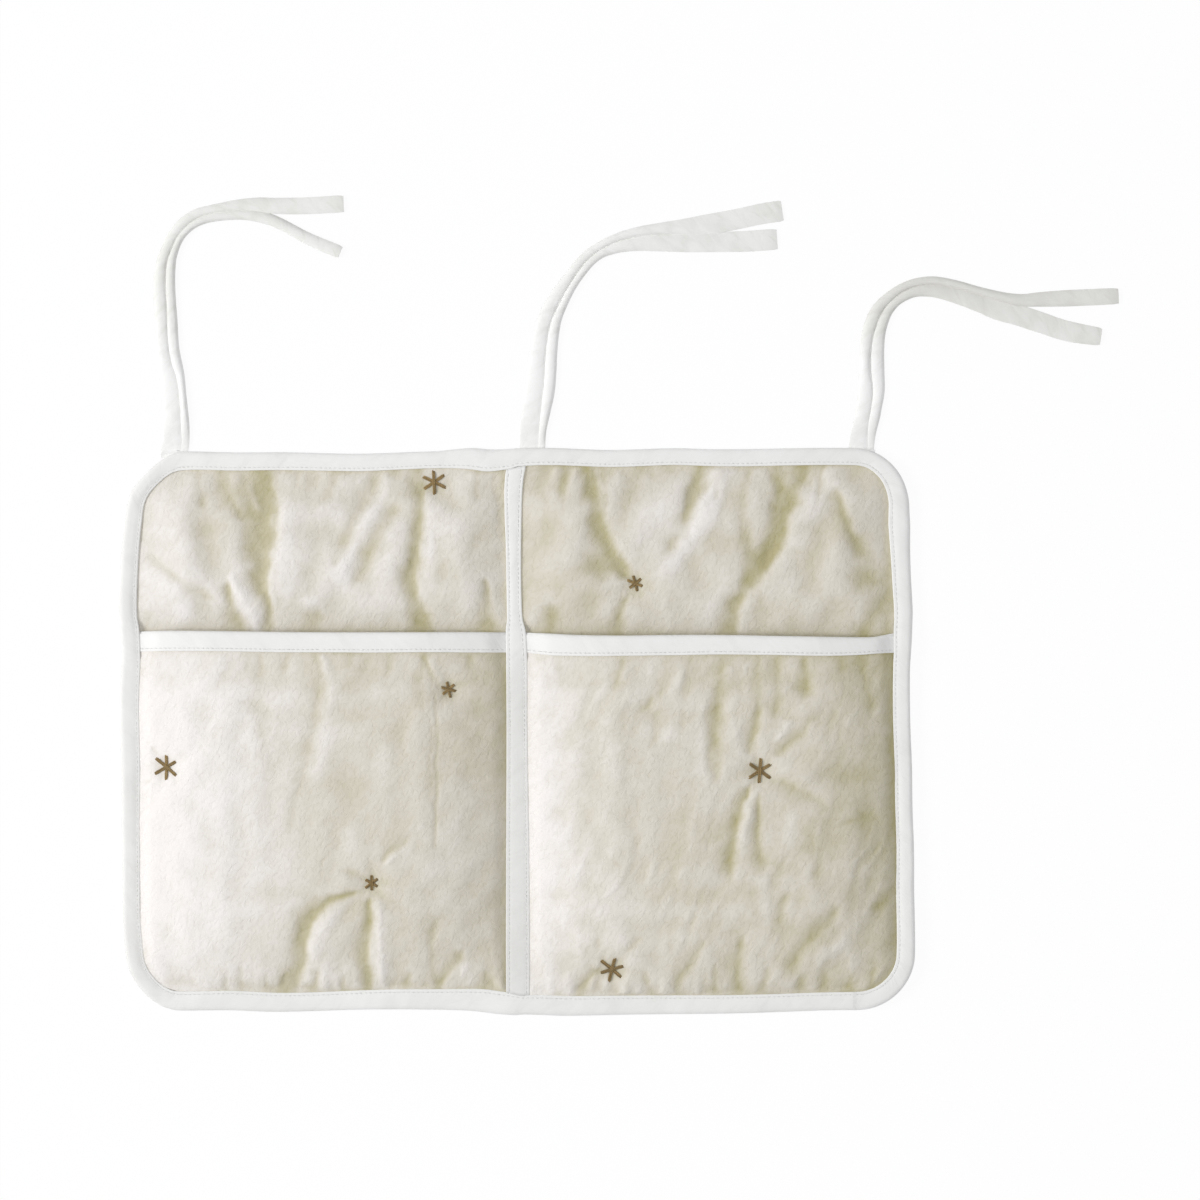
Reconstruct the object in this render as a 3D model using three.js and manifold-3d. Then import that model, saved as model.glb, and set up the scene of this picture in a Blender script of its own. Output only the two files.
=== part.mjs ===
// A quilted crib organizer: a padded cotton panel with a bound edge, two padded pockets
// side by side below, a tape sewn down the middle and three pairs of ties along the top.
//
// Millimetres, +Z up. It lies flat on its back: X runs across the panel, Y up towards the
// ties, Z out through the pockets. The origin is under the middle of the panel, on the
// plane that it lies on.

import * as THREE from "three";
import { mergeVertices } from "three/addons/utils/BufferGeometryUtils.js";
import Module from "manifold-3d";

const wasm = await Module();
wasm.setup();

// Panel and its bound edge
const PANEL_WIDTH = 500;
const PANEL_HEIGHT = 355;
const CORNER_RADIUS = 36;
const BINDING_WIDTH = 11;
const BINDING_THICKNESS = 0.9;
const BINDING_FOLD = 1.3; // how far the rounded fold of the edge reaches in from the rim
const FOLD_BEVEL = 0.35;

// Cloth and wadding
const COTTON_THICKNESS = 0.8;
const LAYER_GAP = 0.3;
const EDGE_WADDING = 1.4; // wadding squeezed flat inside the bound edge
const UPPER_RISE = 5; // how far the upper fields puff up above the edge
const UPPER_EASE = 34; // over this distance from a seam
const LINING_RAMP = 12; // the lining comes down to the table over this distance

// Pockets
const POCKET_DEPTH = 229; // from the bottom of the panel's opening to the mouth
const POCKET_SEAT_GAP = 0.4;
const POCKET_SIDE_GAP = 0.5;
const POCKET_HOLLOW = 8; // how far the pocket front stands off the back in its middle
const HOLLOW_EASE = 60;
const POCKET_EDGE_WADDING = 0.5;
const POCKET_WADDING = 6;
const POCKET_EASE = 34;
const MOUTH_BINDING_WIDTH = 12.6;
const MOUTH_RAMP = 15; // the pocket front lifts over this distance to clear its own binding

// Tape down the middle
const CENTRE_TAPE_WIDTH = 12.6;
const TAPE_END_GAP = 0.3;

// Sewing thread
const THREAD_WIDTH = 0.7;
const THREAD_HEIGHT = 0.4;
const STITCH_INSET = 1.8; // from the edge of the tape that the line of stitches holds
const STITCH_SEAT = 0.05;

// Embroidered stars that hold the quilting
const LARGE_STAR = { span: 15, thread: 1.9, dip: 3.2 };
const SMALL_STAR = { span: 9.5, thread: 1.6, dip: 2.6 };
const STAR_THREAD_HEIGHT = 1;
const STAR_SEAT = 0.4;
const DIP_RADIUS = 9;
const STAR_ARMS = 6;

// Ties
const TIE_WIDTH = 13;
const TIE_THICKNESS = 1.6;
const TIE_SOFTNESS = 0.35; // of the thickness, rounded off each edge
const TIE_ROOT_GAP = 0.3;
const TAIL_GATHER = { outer: 0.92, inner: 0.4 }; // of a tie's width, folded together in the seam
const GATHER_REACH = 24; // how far from the seam a tie lies open again
const INNER_ASIDE = 1.1; // the inner tie's shift from its route, so that each of a pair lifts alone
const ROOT_WIDTH = TIE_WIDTH * (TAIL_GATHER.outer + TAIL_GATHER.inner) + 1; // a pair's tails, side by side
const ROOT_DEPTH = 8; // how far a pair's tape reaches into the seam
const TIE_PAIR_INSET = 34; // of the outer pairs' middles, from the panel's sides
const CENTRE_PAIR_OFFSET = 7.5; // of the middle pair, to the right of the tape's middle

// How finely curves are cut
const CORNER_STEPS = 7;
const TIE_STEPS = 38;
const BACK_CELL = 50;
const POCKET_CELL = 40;
const MOUTH_ROWS = [0, 4, 14]; // rows of points on the back, from the level of the mouths up

const WHITE_COTTON = new THREE.MeshStandardMaterial({ color: 0xebece8, roughness: 0.9, metalness: 0 });
const CREAM_COTTON = new THREE.MeshStandardMaterial({ color: 0xe4decf, roughness: 0.92, metalness: 0 });
const WADDING = new THREE.MeshStandardMaterial({ color: 0xf4f3ef, roughness: 1, metalness: 0 });
const BROWN_THREAD = new THREE.MeshStandardMaterial({ color: 0x7a6640, roughness: 0.7, metalness: 0 });
const WHITE_THREAD = new THREE.MeshStandardMaterial({ color: 0xe2e2dc, roughness: 0.7, metalness: 0 });

// Heights of the stack inside the bound edge, from the table up
const EDGE_LINING_Z = BINDING_THICKNESS + LAYER_GAP;
const EDGE_WADDING_Z = EDGE_LINING_Z + COTTON_THICKNESS + LAYER_GAP;
const EDGE_FACE_Z = EDGE_WADDING_Z + EDGE_WADDING + LAYER_GAP;
const EDGE_FACE_TOP = EDGE_FACE_Z + COTTON_THICKNESS;
const EDGE_HEIGHT = EDGE_FACE_TOP + LAYER_GAP + BINDING_THICKNESS;

// Outlines: the rim, the edge of the layers inside the binding, and the opening it frames
const LAYER_INSET = BINDING_THICKNESS + 2 * LAYER_GAP;
const HALF_WIDTH = PANEL_WIDTH / 2;
const HALF_HEIGHT = PANEL_HEIGHT / 2;
const HALF_TAPE = CENTRE_TAPE_WIDTH / 2;
const FLANGE = BINDING_WIDTH - LAYER_INSET;
const OPENING_TOP = HALF_HEIGHT - BINDING_WIDTH;
const MOUTH_TOP = -OPENING_TOP + POCKET_DEPTH;
const MOUTH_INNER = MOUTH_TOP - MOUTH_BINDING_WIDTH;

// Distances from a seam at which a puffed surface gets a row of points
const FIRST_INSET = 3;
const PUFF_INSETS = [0, FIRST_INSET, LINING_RAMP, 2 * LINING_RAMP];
const BACK_CORNER_SHARES = [0.05, 0.145, 1];
const POCKET_CORNER_SHARES = [0.06, 0.2, 0.5, 1];
const ROWS_APART = 1.2;

const clamp01 = (t) => Math.min(1, Math.max(0, t));
const puff = (t) => Math.sqrt(1 - (1 - clamp01(t)) ** 2);
const bulge = (t) => Math.sin((clamp01(t) * Math.PI) / 2);
const mix = (a, b, t) => a + (b - a) * t;

// How far a row's end is drawn in by a round corner, at a distance from the straight edge
function cornerDraw(radius, fromEdge) {
  if (fromEdge >= radius) return 0;
  return radius - Math.sqrt(Math.max(0, radius ** 2 - (radius - fromEdge) ** 2));
}

// Half the width at height y of a rounded rectangle that is inset from the rim
function halfWidthAt(inset, y) {
  const fromEdge = HALF_HEIGHT - inset - Math.abs(y);
  return HALF_WIDTH - inset - cornerDraw(CORNER_RADIUS - inset, fromEdge);
}

// Half the width of the opening inside the binding at height y, level with its corners beyond it
function openingHalfAt(y) {
  return Math.abs(y) < OPENING_TOP ? halfWidthAt(BINDING_WIDTH, y) : HALF_WIDTH - CORNER_RADIUS;
}

const ascending = (values) => [...values].sort((a, b) => a - b);

// The needed values, with those of the others that aren't close to one of them
function joined(needed, others) {
  const clear = others.filter((v) => needed.every((n) => Math.abs(n - v) > ROWS_APART));
  return ascending([...needed, ...clear]);
}

// How many values each gap of a list needs so that none is longer than a cell
function fillsOf(values, cell) {
  return values.slice(1).map((v, i) => Math.floor((v - values[i]) / cell));
}

function filled(values, fills) {
  return values.flatMap((v, i) => (i === 0 ? [v] : [...evenly(values[i - 1], v, fills[i - 1]), v]));
}

function evenly(from, to, count) {
  return Array.from({ length: count }, (_, i) => mix(from, to, (i + 1) / (count + 1)));
}

// Rows of points over a piece of cloth, each row with its own places across
function clothGrid(rowYs, columnsAt) {
  return rowYs.map((y) => columnsAt(y).map((x) => ({ x, y })));
}

function dipAt(stars, x, y) {
  const one = (s) => s.size.dip * Math.exp(-(((x - s.x) ** 2 + (y - s.y) ** 2) / DIP_RADIUS ** 2));
  return stars.reduce((sum, s) => sum + one(s), 0);
}

// A closed geometry from points and faces of three point numbers each, turned to face outwards
function meshOf(points, faces) {
  const at = (i) => new THREE.Vector3(...points[i]);
  const volume = faces.reduce((sum, [a, b, c]) => sum + at(a).dot(at(b).cross(at(c))), 0);
  const outward = volume < 0 ? faces.map(([a, b, c]) => [a, c, b]) : faces;
  const geometry = new THREE.BufferGeometry();
  geometry.setAttribute("position", new THREE.Float32BufferAttribute(points.flat(), 3));
  geometry.setIndex(outward.flat());
  geometry.computeVertexNormals();
  return geometry;
}

// The closed solid between two heights over a grid
function layer(grid, bottomAt, topAt) {
  const rows = grid.length;
  const columns = grid[0].length;
  const nodes = grid.flat();
  const points = [
    ...nodes.map((p) => [p.x, p.y, bottomAt(p.x, p.y)]),
    ...nodes.map((p) => [p.x, p.y, topAt(p.x, p.y)]),
  ];
  const top = nodes.length;
  const faces = [];
  for (let r = 0; r < rows - 1; r += 1) {
    for (let c = 0; c < columns - 1; c += 1) {
      const a = r * columns + c;
      const [b, d, e] = [a + 1, a + columns, a + columns + 1];
      faces.push([top + a, top + b, top + e], [top + a, top + e, top + d]);
      faces.push([a, e, b], [a, d, e]);
    }
  }
  const rim = [];
  for (let c = 0; c < columns - 1; c += 1) rim.push(c);
  for (let r = 0; r < rows - 1; r += 1) rim.push(r * columns + columns - 1);
  for (let c = columns - 1; c > 0; c -= 1) rim.push((rows - 1) * columns + c);
  for (let r = rows - 1; r > 0; r -= 1) rim.push(r * columns);
  rim.forEach((a, i) => {
    const b = rim[(i + 1) % rim.length];
    faces.push([a, b, top + b], [a, top + b, top + a]);
  });
  return meshOf(points, faces);
}

// The height of a grid's faceted surface above a point
function heightOver(grid, heightAt, x, y) {
  for (let r = 0; r < grid.length - 1; r += 1) {
    for (let c = 0; c < grid[r].length - 1; c += 1) {
      const [a, b] = [grid[r][c], grid[r][c + 1]];
      const [d, e] = [grid[r + 1][c], grid[r + 1][c + 1]];
      for (const [p, q, s] of [[a, b, e], [a, e, d]]) {
        const area = (q.x - p.x) * (s.y - p.y) - (s.x - p.x) * (q.y - p.y);
        if (Math.abs(area) < 1e-9) continue;
        const u = ((x - p.x) * (s.y - p.y) - (s.x - p.x) * (y - p.y)) / area;
        const v = ((q.x - p.x) * (y - p.y) - (x - p.x) * (q.y - p.y)) / area;
        if (u < -1e-6 || v < -1e-6 || u + v > 1 + 1e-6) continue;
        const [hp, hq, hs] = [p, q, s].map((k) => heightAt(k.x, k.y));
        return hp + u * (hq - hp) + v * (hs - hp);
      }
    }
  }
  return heightAt(x, y);
}

// A section carried through a list of frames: each frame turns a section point into a place
function sweep(frames, section, closed) {
  const sides = section.length;
  const drawn = section.map(([u, v]) => new THREE.Vector2(u, v));
  const flat = THREE.ShapeUtils.isClockWise(drawn) ? drawn.reverse() : drawn;
  const points = frames.flatMap((frame) => flat.map(({ x, y }) => frame(x, y)));
  const faces = [];
  const spans = closed ? frames.length : frames.length - 1;
  for (let i = 0; i < spans; i += 1) {
    const here = i * sides;
    const next = ((i + 1) % frames.length) * sides;
    for (let k = 0; k < sides; k += 1) {
      const l = (k + 1) % sides;
      faces.push([here + k, here + l, next + l], [here + k, next + l, next + k]);
    }
  }
  if (!closed) {
    const last = (frames.length - 1) * sides;
    for (const [a, b, c] of THREE.ShapeUtils.triangulateShape(flat, [])) {
      faces.push([a, c, b], [last + a, last + b, last + c]);
    }
  }
  return meshOf(points, faces);
}

// A tape folded over an edge, as a section: u runs in from the rim, v up from the underside
function foldedTape(width, height) {
  const wall = BINDING_THICKNESS;
  const fold = BINDING_FOLD;
  const low = [[width, 0], [fold, 0], [FOLD_BEVEL, FOLD_BEVEL], [0, fold]];
  const high = low.map(([u, v]) => [u, height - v]).reverse();
  const inside = [[width, height - wall], [wall, height - wall], [wall, wall], [width, wall]];
  return [...low, ...high, ...inside];
}

// Frames round the panel, with u running in from the rim
function rimFrames() {
  const frames = [];
  const cornerX = HALF_WIDTH - CORNER_RADIUS;
  const cornerY = HALF_HEIGHT - CORNER_RADIUS;
  const corners = [[cornerX, -cornerY], [cornerX, cornerY], [-cornerX, cornerY], [-cornerX, -cornerY]];
  corners.forEach(([cx, cy], quarter) => {
    for (let i = 0; i <= CORNER_STEPS; i += 1) {
      const angle = (quarter - 1 + i / CORNER_STEPS) * (Math.PI / 2);
      const [nx, ny] = [Math.cos(angle), Math.sin(angle)];
      frames.push((u, v) => [cx + nx * (CORNER_RADIUS - u), cy + ny * (CORNER_RADIUS - u), v]);
    }
  });
  return frames;
}

// Where each pair of ties leaves the top edge
const tiePlaces = {
  left: -HALF_WIDTH + TIE_PAIR_INSET,
  centre: CENTRE_PAIR_OFFSET,
  right: HALF_WIDTH - TIE_PAIR_INSET,
};

const rootSize = [ROOT_WIDTH, ROOT_DEPTH, EDGE_WADDING];
const rootMiddle = (x) => [x, HALF_HEIGHT - ROOT_DEPTH / 2, EDGE_WADDING_Z + EDGE_WADDING / 2];

// Cuts the room for each pair's tape out of a piece, with a gap round it, out through the fold
function cutRooms(geometry) {
  const roomAt = (x) => {
    const room = new THREE.BoxGeometry(...rootSize.map((v) => v + 2 * LAYER_GAP));
    return solidOf(room.translate(...rootMiddle(x)));
  };
  const rooms = Object.values(tiePlaces).map(roomAt);
  return geometryOf(rooms.reduce((left, room) => left.subtract(room), solidOf(geometry)));
}

function bar(width, height) {
  return [[-width / 2, 0], [width / 2, 0], [width / 2, height], [-width / 2, height]];
}

// The organizer's parts are grouped by what moves together
const organizer = new THREE.Group();
organizer.name = "crib_organizer";
const panel = new THREE.Group();
organizer.add(panel);

function addPiece(name, geometry, material, parent) {
  const mesh = new THREE.Mesh(geometry, material);
  mesh.name = name;
  parent.add(mesh);
  return mesh;
}

// Where the stars are sewn: across from the tape or in from the rim, and up or down from a seam
const upperStars = [
  { name: "star_upper_left", x: -53, y: HALF_HEIGHT - 20, size: LARGE_STAR, turn: 4 },
  { name: "star_upper_right", x: 74, y: MOUTH_TOP + 31, size: SMALL_STAR, turn: 10 },
];
const pocketStars = {
  left: [
    { name: "star_pocket_left_rim", fromRim: 29, y: MOUTH_INNER - 72, size: LARGE_STAR, turn: -6 },
    { name: "star_pocket_left_top", fromTape: 37, y: MOUTH_INNER - 23, size: SMALL_STAR, turn: 14 },
    { name: "star_pocket_left_low", fromTape: 85, y: -OPENING_TOP + 72, size: SMALL_STAR, turn: 2 },
  ],
  right: [
    { name: "star_pocket_right_middle", fromRim: 98, y: MOUTH_INNER - 74, size: LARGE_STAR, turn: 0 },
    { name: "star_pocket_right_low", fromTape: 53, y: -OPENING_TOP + 17, size: LARGE_STAR, turn: -8 },
  ],
};

// Six short arms from the middle of a star, each laid clear of the cloth, joined to one stitch
function starStitch(star, surfaceAt) {
  const reach = star.size.span / 2;
  const half = star.size.thread / 2;
  const arms = Array.from({ length: STAR_ARMS }, (_, i) => {
    const angle = THREE.MathUtils.degToRad(star.turn + 90 + (360 / STAR_ARMS) * i);
    const [alongX, alongY] = [Math.cos(angle), Math.sin(angle)];
    const at = (along, across) => [
      star.x + alongX * along - alongY * across,
      star.y + alongY * along + alongX * across,
    ];
    const [start, end] = [surfaceAt(...at(0, 0)), surfaceAt(...at(reach, 0))];
    const samples = [0, 0.25, 0.5, 0.75, 1].flatMap((t) => [-half, 0, half].map((across) => [t, across]));
    const over = samples.map(([t, across]) => surfaceAt(...at(t * reach, across)) - mix(start, end, t));
    const lift = STAR_SEAT + Math.max(...over);
    const frames = [0, 1].map((t) => (u, v) => [...at(t * reach, u), mix(start, end, t) + lift + v]);
    return solidOf(sweep(frames, bar(star.size.thread, STAR_THREAD_HEIGHT), false));
  });
  return geometryOf(arms.reduce((whole, arm) => whole.add(arm)));
}

function solidOf(geometry) {
  const bare = new THREE.BufferGeometry().setAttribute("position", geometry.getAttribute("position"));
  bare.setIndex(geometry.index);
  const merged = mergeVertices(bare);
  const vertProperties = merged.attributes.position.array;
  return new wasm.Manifold(
    new wasm.Mesh({ numProp: 3, vertProperties, triVerts: new Uint32Array(merged.index.array) }),
  );
}

function geometryOf(solid) {
  const { vertProperties, triVerts, numProp } = solid.getMesh();
  const points = [];
  for (let i = 0; i < vertProperties.length; i += numProp) points.push([...vertProperties.slice(i, i + 3)]);
  const faces = [];
  for (let i = 0; i < triVerts.length; i += 3) faces.push([...triVerts.slice(i, i + 3)]);
  return meshOf(points, faces);
}

// The back: lining, wadding and face, squeezed together in the bound edge and at the tape
function addBack() {
  const high = HALF_HEIGHT - LAYER_INSET;
  const cornerRows = BACK_CORNER_SHARES.map((share) => share * (CORNER_RADIUS - LAYER_INSET));
  const topInsets = joined([0, ...PUFF_INSETS.map((d) => FLANGE + d), high - upperStars[0].y], cornerRows);
  const bottomInsets = joined([0, FLANGE, FLANGE + LINING_RAMP], cornerRows);
  const topRows = topInsets.map((d) => high - d);
  const bottomRows = bottomInsets.map((d) => d - high);
  const mouthRows = MOUTH_ROWS.map((d) => MOUTH_TOP + d);
  const seamRows = ascending([...bottomRows, ...mouthRows, upperStars[1].y, ...topRows]);
  const rows = filled(seamRows, fillsOf(seamRows, BACK_CELL));

  const rightAt = (y) => halfWidthAt(LAYER_INSET, y);
  const rimAt = (y) => Math.min(openingHalfAt(y), rightAt(y) - ROWS_APART);
  const bothSides = (half) => [...ascending(half).map((x) => -x).reverse(), ...ascending(half)];
  const halfSeams = (y) => {
    const tapeSide = PUFF_INSETS.map((d) => HALF_TAPE + d);
    const rimSide = PUFF_INSETS.map((d) => rimAt(y) - d);
    return ascending([...tapeSide, ...upperStars.map((star) => Math.abs(star.x)), ...rimSide, rightAt(y)]);
  };
  const fills = fillsOf(halfSeams(0), BACK_CELL);
  const grid = clothGrid(rows, (y) => bothSides(filled(halfSeams(y), fills)));

  const riseAt = (x, y) => {
    const side = puff((openingHalfAt(y) - Math.abs(x)) / UPPER_EASE);
    const tape = puff((Math.abs(x) - HALF_TAPE) / UPPER_EASE);
    const top = puff((OPENING_TOP - y) / UPPER_EASE);
    const mouth = bulge((y - MOUTH_TOP) / UPPER_EASE);
    return UPPER_RISE * side * tape * top * mouth;
  };
  const liningAt = (x, y) => {
    const inside = Math.min(openingHalfAt(y) - Math.abs(x), OPENING_TOP - Math.abs(y));
    return EDGE_LINING_Z * (1 - clamp01(inside / LINING_RAMP));
  };
  const dippedRise = (x, y) => Math.max(0, riseAt(x, y) - dipAt(upperStars, x, y));
  const faceTop = (x, y) => EDGE_FACE_TOP + dippedRise(x, y);
  const faceBottom = (x, y) => faceTop(x, y) - COTTON_THICKNESS;

  const liningRows = ascending([...bottomRows, ...topRows]);
  const liningColumns = (y) => bothSides([rimAt(y) - LINING_RAMP, rimAt(y), rightAt(y)]);
  const liningGrid = clothGrid(liningRows, liningColumns);
  const liningTop = (x, y) => liningAt(x, y) + COTTON_THICKNESS;
  const waddingBottom = (x, y) => heightOver(liningGrid, liningTop, x, y) + LAYER_GAP;
  addPiece("back_lining", layer(liningGrid, liningAt, liningTop), CREAM_COTTON, panel);
  const wadding = layer(grid, waddingBottom, (x, y) => faceBottom(x, y) - LAYER_GAP);
  addPiece("back_wadding", cutRooms(wadding), WADDING, panel);
  addPiece("back_face", layer(grid, faceBottom, faceTop), CREAM_COTTON, panel);

  for (const star of upperStars) {
    const geometry = starStitch(star, (x, y) => heightOver(grid, faceTop, x, y));
    addPiece(star.name, geometry, BROWN_THREAD, panel);
  }
}

// The binding that wraps the rim, and the line of stitches that holds its front flap
function addEdgeBinding() {
  const frames = rimFrames();
  const binding = sweep(frames, foldedTape(BINDING_WIDTH, EDGE_HEIGHT), true);
  addPiece("edge_binding", cutRooms(binding), WHITE_COTTON, panel);
  const stitches = bar(THREAD_WIDTH, THREAD_HEIGHT).map(([u, v]) => [
    BINDING_WIDTH - STITCH_INSET + u,
    EDGE_HEIGHT + STITCH_SEAT + v,
  ]);
  addPiece("edge_stitching", sweep(frames, stitches, true), WHITE_THREAD, panel);
}

// The tape that divides the pockets, sewn down along both sides
function addCentreTape() {
  const length = 2 * (OPENING_TOP - TAPE_END_GAP);
  const tape = new THREE.BoxGeometry(CENTRE_TAPE_WIDTH, length, BINDING_THICKNESS);
  addPiece("centre_tape", tape, WHITE_COTTON, panel).position.z = EDGE_HEIGHT - BINDING_THICKNESS / 2;
  for (const [side, sign] of [["left", -1], ["right", 1]]) {
    const line = new THREE.BoxGeometry(THREAD_WIDTH, length, THREAD_HEIGHT);
    const stitches = addPiece("centre_stitching_" + side, line, WHITE_THREAD, panel);
    stitches.position.x = sign * (HALF_TAPE - STITCH_INSET);
    stitches.position.z = EDGE_HEIGHT + STITCH_SEAT + THREAD_HEIGHT / 2;
  }
}

// One pocket front: three layers that stand off the back, a bound mouth and its stars
function addPocket(side, sign) {
  const pocket = new THREE.Group();
  organizer.add(pocket);
  const inner = HALF_TAPE + POCKET_SIDE_GAP;
  const outerInset = BINDING_WIDTH + POCKET_SIDE_GAP;
  const bottom = -OPENING_TOP + POCKET_SIDE_GAP;
  const clothTop = MOUTH_TOP - LAYER_INSET;
  const outerAt = (y) => halfWidthAt(outerInset, y);
  const stars = pocketStars[side].map((star) => ({
    ...star,
    x: sign * (star.fromTape ? HALF_TAPE + star.fromTape : HALF_WIDTH - star.fromRim),
  }));

  const cornerRows = POCKET_CORNER_SHARES.map((share) => bottom + share * (CORNER_RADIUS - outerInset));
  const mouthRows = PUFF_INSETS.map((d) => MOUTH_INNER - d);
  const starRows = stars.map((star) => star.y);
  const seamRows = joined([bottom, ...starRows, MOUTH_INNER, clothTop], [...cornerRows, ...mouthRows]);
  const rows = filled(seamRows, fillsOf(seamRows, POCKET_CELL));

  const tapeStars = stars.filter((star) => star.fromTape).map((star) => Math.abs(star.x) - inner);
  const rimStars = stars.filter((star) => star.fromRim).map((star) => star.fromRim - outerInset);
  const innerSide = joined([0, ...tapeStars], PUFF_INSETS);
  const outerSide = joined([0, ...rimStars], PUFF_INSETS);
  const halfSeams = (y) => {
    const outward = outerSide.map((d) => outerAt(y) - d);
    return ascending([...innerSide.map((d) => inner + d), ...outward]);
  };
  const fills = fillsOf(halfSeams(0), POCKET_CELL);
  const columns = (y) => ascending(filled(halfSeams(y), fills).map((x) => sign * x));
  const grid = clothGrid(rows, columns);

  const fromInner = (x) => Math.abs(x) - inner;
  const fromOuter = (x, y) => outerAt(y) - Math.abs(x);
  const seat = EDGE_FACE_TOP + POCKET_SEAT_GAP;
  const bindingRoom = BINDING_THICKNESS + LAYER_GAP;
  const undersideAt = (x, y) => {
    const across = bulge(fromInner(x) / HOLLOW_EASE) * bulge(fromOuter(x, y) / HOLLOW_EASE);
    const along = bulge((y - bottom) / HOLLOW_EASE);
    const lift = bindingRoom * clamp01((y - MOUTH_INNER + MOUTH_RAMP) / MOUTH_RAMP);
    return seat + lift + POCKET_HOLLOW * across * along;
  };
  const waddingAt = (x, y) => {
    const across = puff(fromInner(x) / POCKET_EASE) * puff(fromOuter(x, y) / POCKET_EASE);
    const along = puff((y - bottom) / POCKET_EASE) * puff((MOUTH_INNER - y) / POCKET_EASE);
    const loft = (POCKET_WADDING - POCKET_EDGE_WADDING) * across * along;
    return POCKET_EDGE_WADDING + Math.max(0, loft - dipAt(stars, x, y));
  };
  const liningTop = (x, y) => undersideAt(x, y) + COTTON_THICKNESS;
  const waddingBottom = (x, y) => liningTop(x, y) + LAYER_GAP;
  const waddingTop = (x, y) => waddingBottom(x, y) + waddingAt(x, y);
  const faceBottom = (x, y) => waddingTop(x, y) + LAYER_GAP;
  const faceTop = (x, y) => faceBottom(x, y) + COTTON_THICKNESS;

  addPiece("pocket_lining_" + side, layer(grid, undersideAt, liningTop), CREAM_COTTON, pocket);
  addPiece("pocket_wadding_" + side, layer(grid, waddingBottom, waddingTop), WADDING, pocket);
  addPiece("pocket_face_" + side, layer(grid, faceBottom, faceTop), CREAM_COTTON, pocket);
  for (const star of stars) {
    const geometry = starStitch(star, (x, y) => heightOver(grid, faceTop, x, y));
    addPiece(star.name, geometry, BROWN_THREAD, pocket);
  }

  // The mouth's binding follows the arch of the cloth from one side of the pocket to the other
  const clothStack = 2 * COTTON_THICKNESS + 2 * LAYER_GAP + POCKET_EDGE_WADDING;
  const mouthHeight = clothStack + 2 * bindingRoom;
  const frames = columns(clothTop).map((x) => {
    const under = undersideAt(x, clothTop) - bindingRoom;
    return (u, v) => [x, MOUTH_TOP - u, under + v];
  });
  const stitches = bar(THREAD_WIDTH, THREAD_HEIGHT).map(([u, v]) => [
    MOUTH_BINDING_WIDTH - STITCH_INSET + u,
    mouthHeight + STITCH_SEAT + v,
  ]);
  const tape = foldedTape(MOUTH_BINDING_WIDTH, mouthHeight);
  addPiece("mouth_binding_" + side, sweep(frames, tape, false), WHITE_COTTON, pocket);
  addPiece("mouth_stitching_" + side, sweep(frames, stitches, false), WHITE_THREAD, pocket);
}

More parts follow.
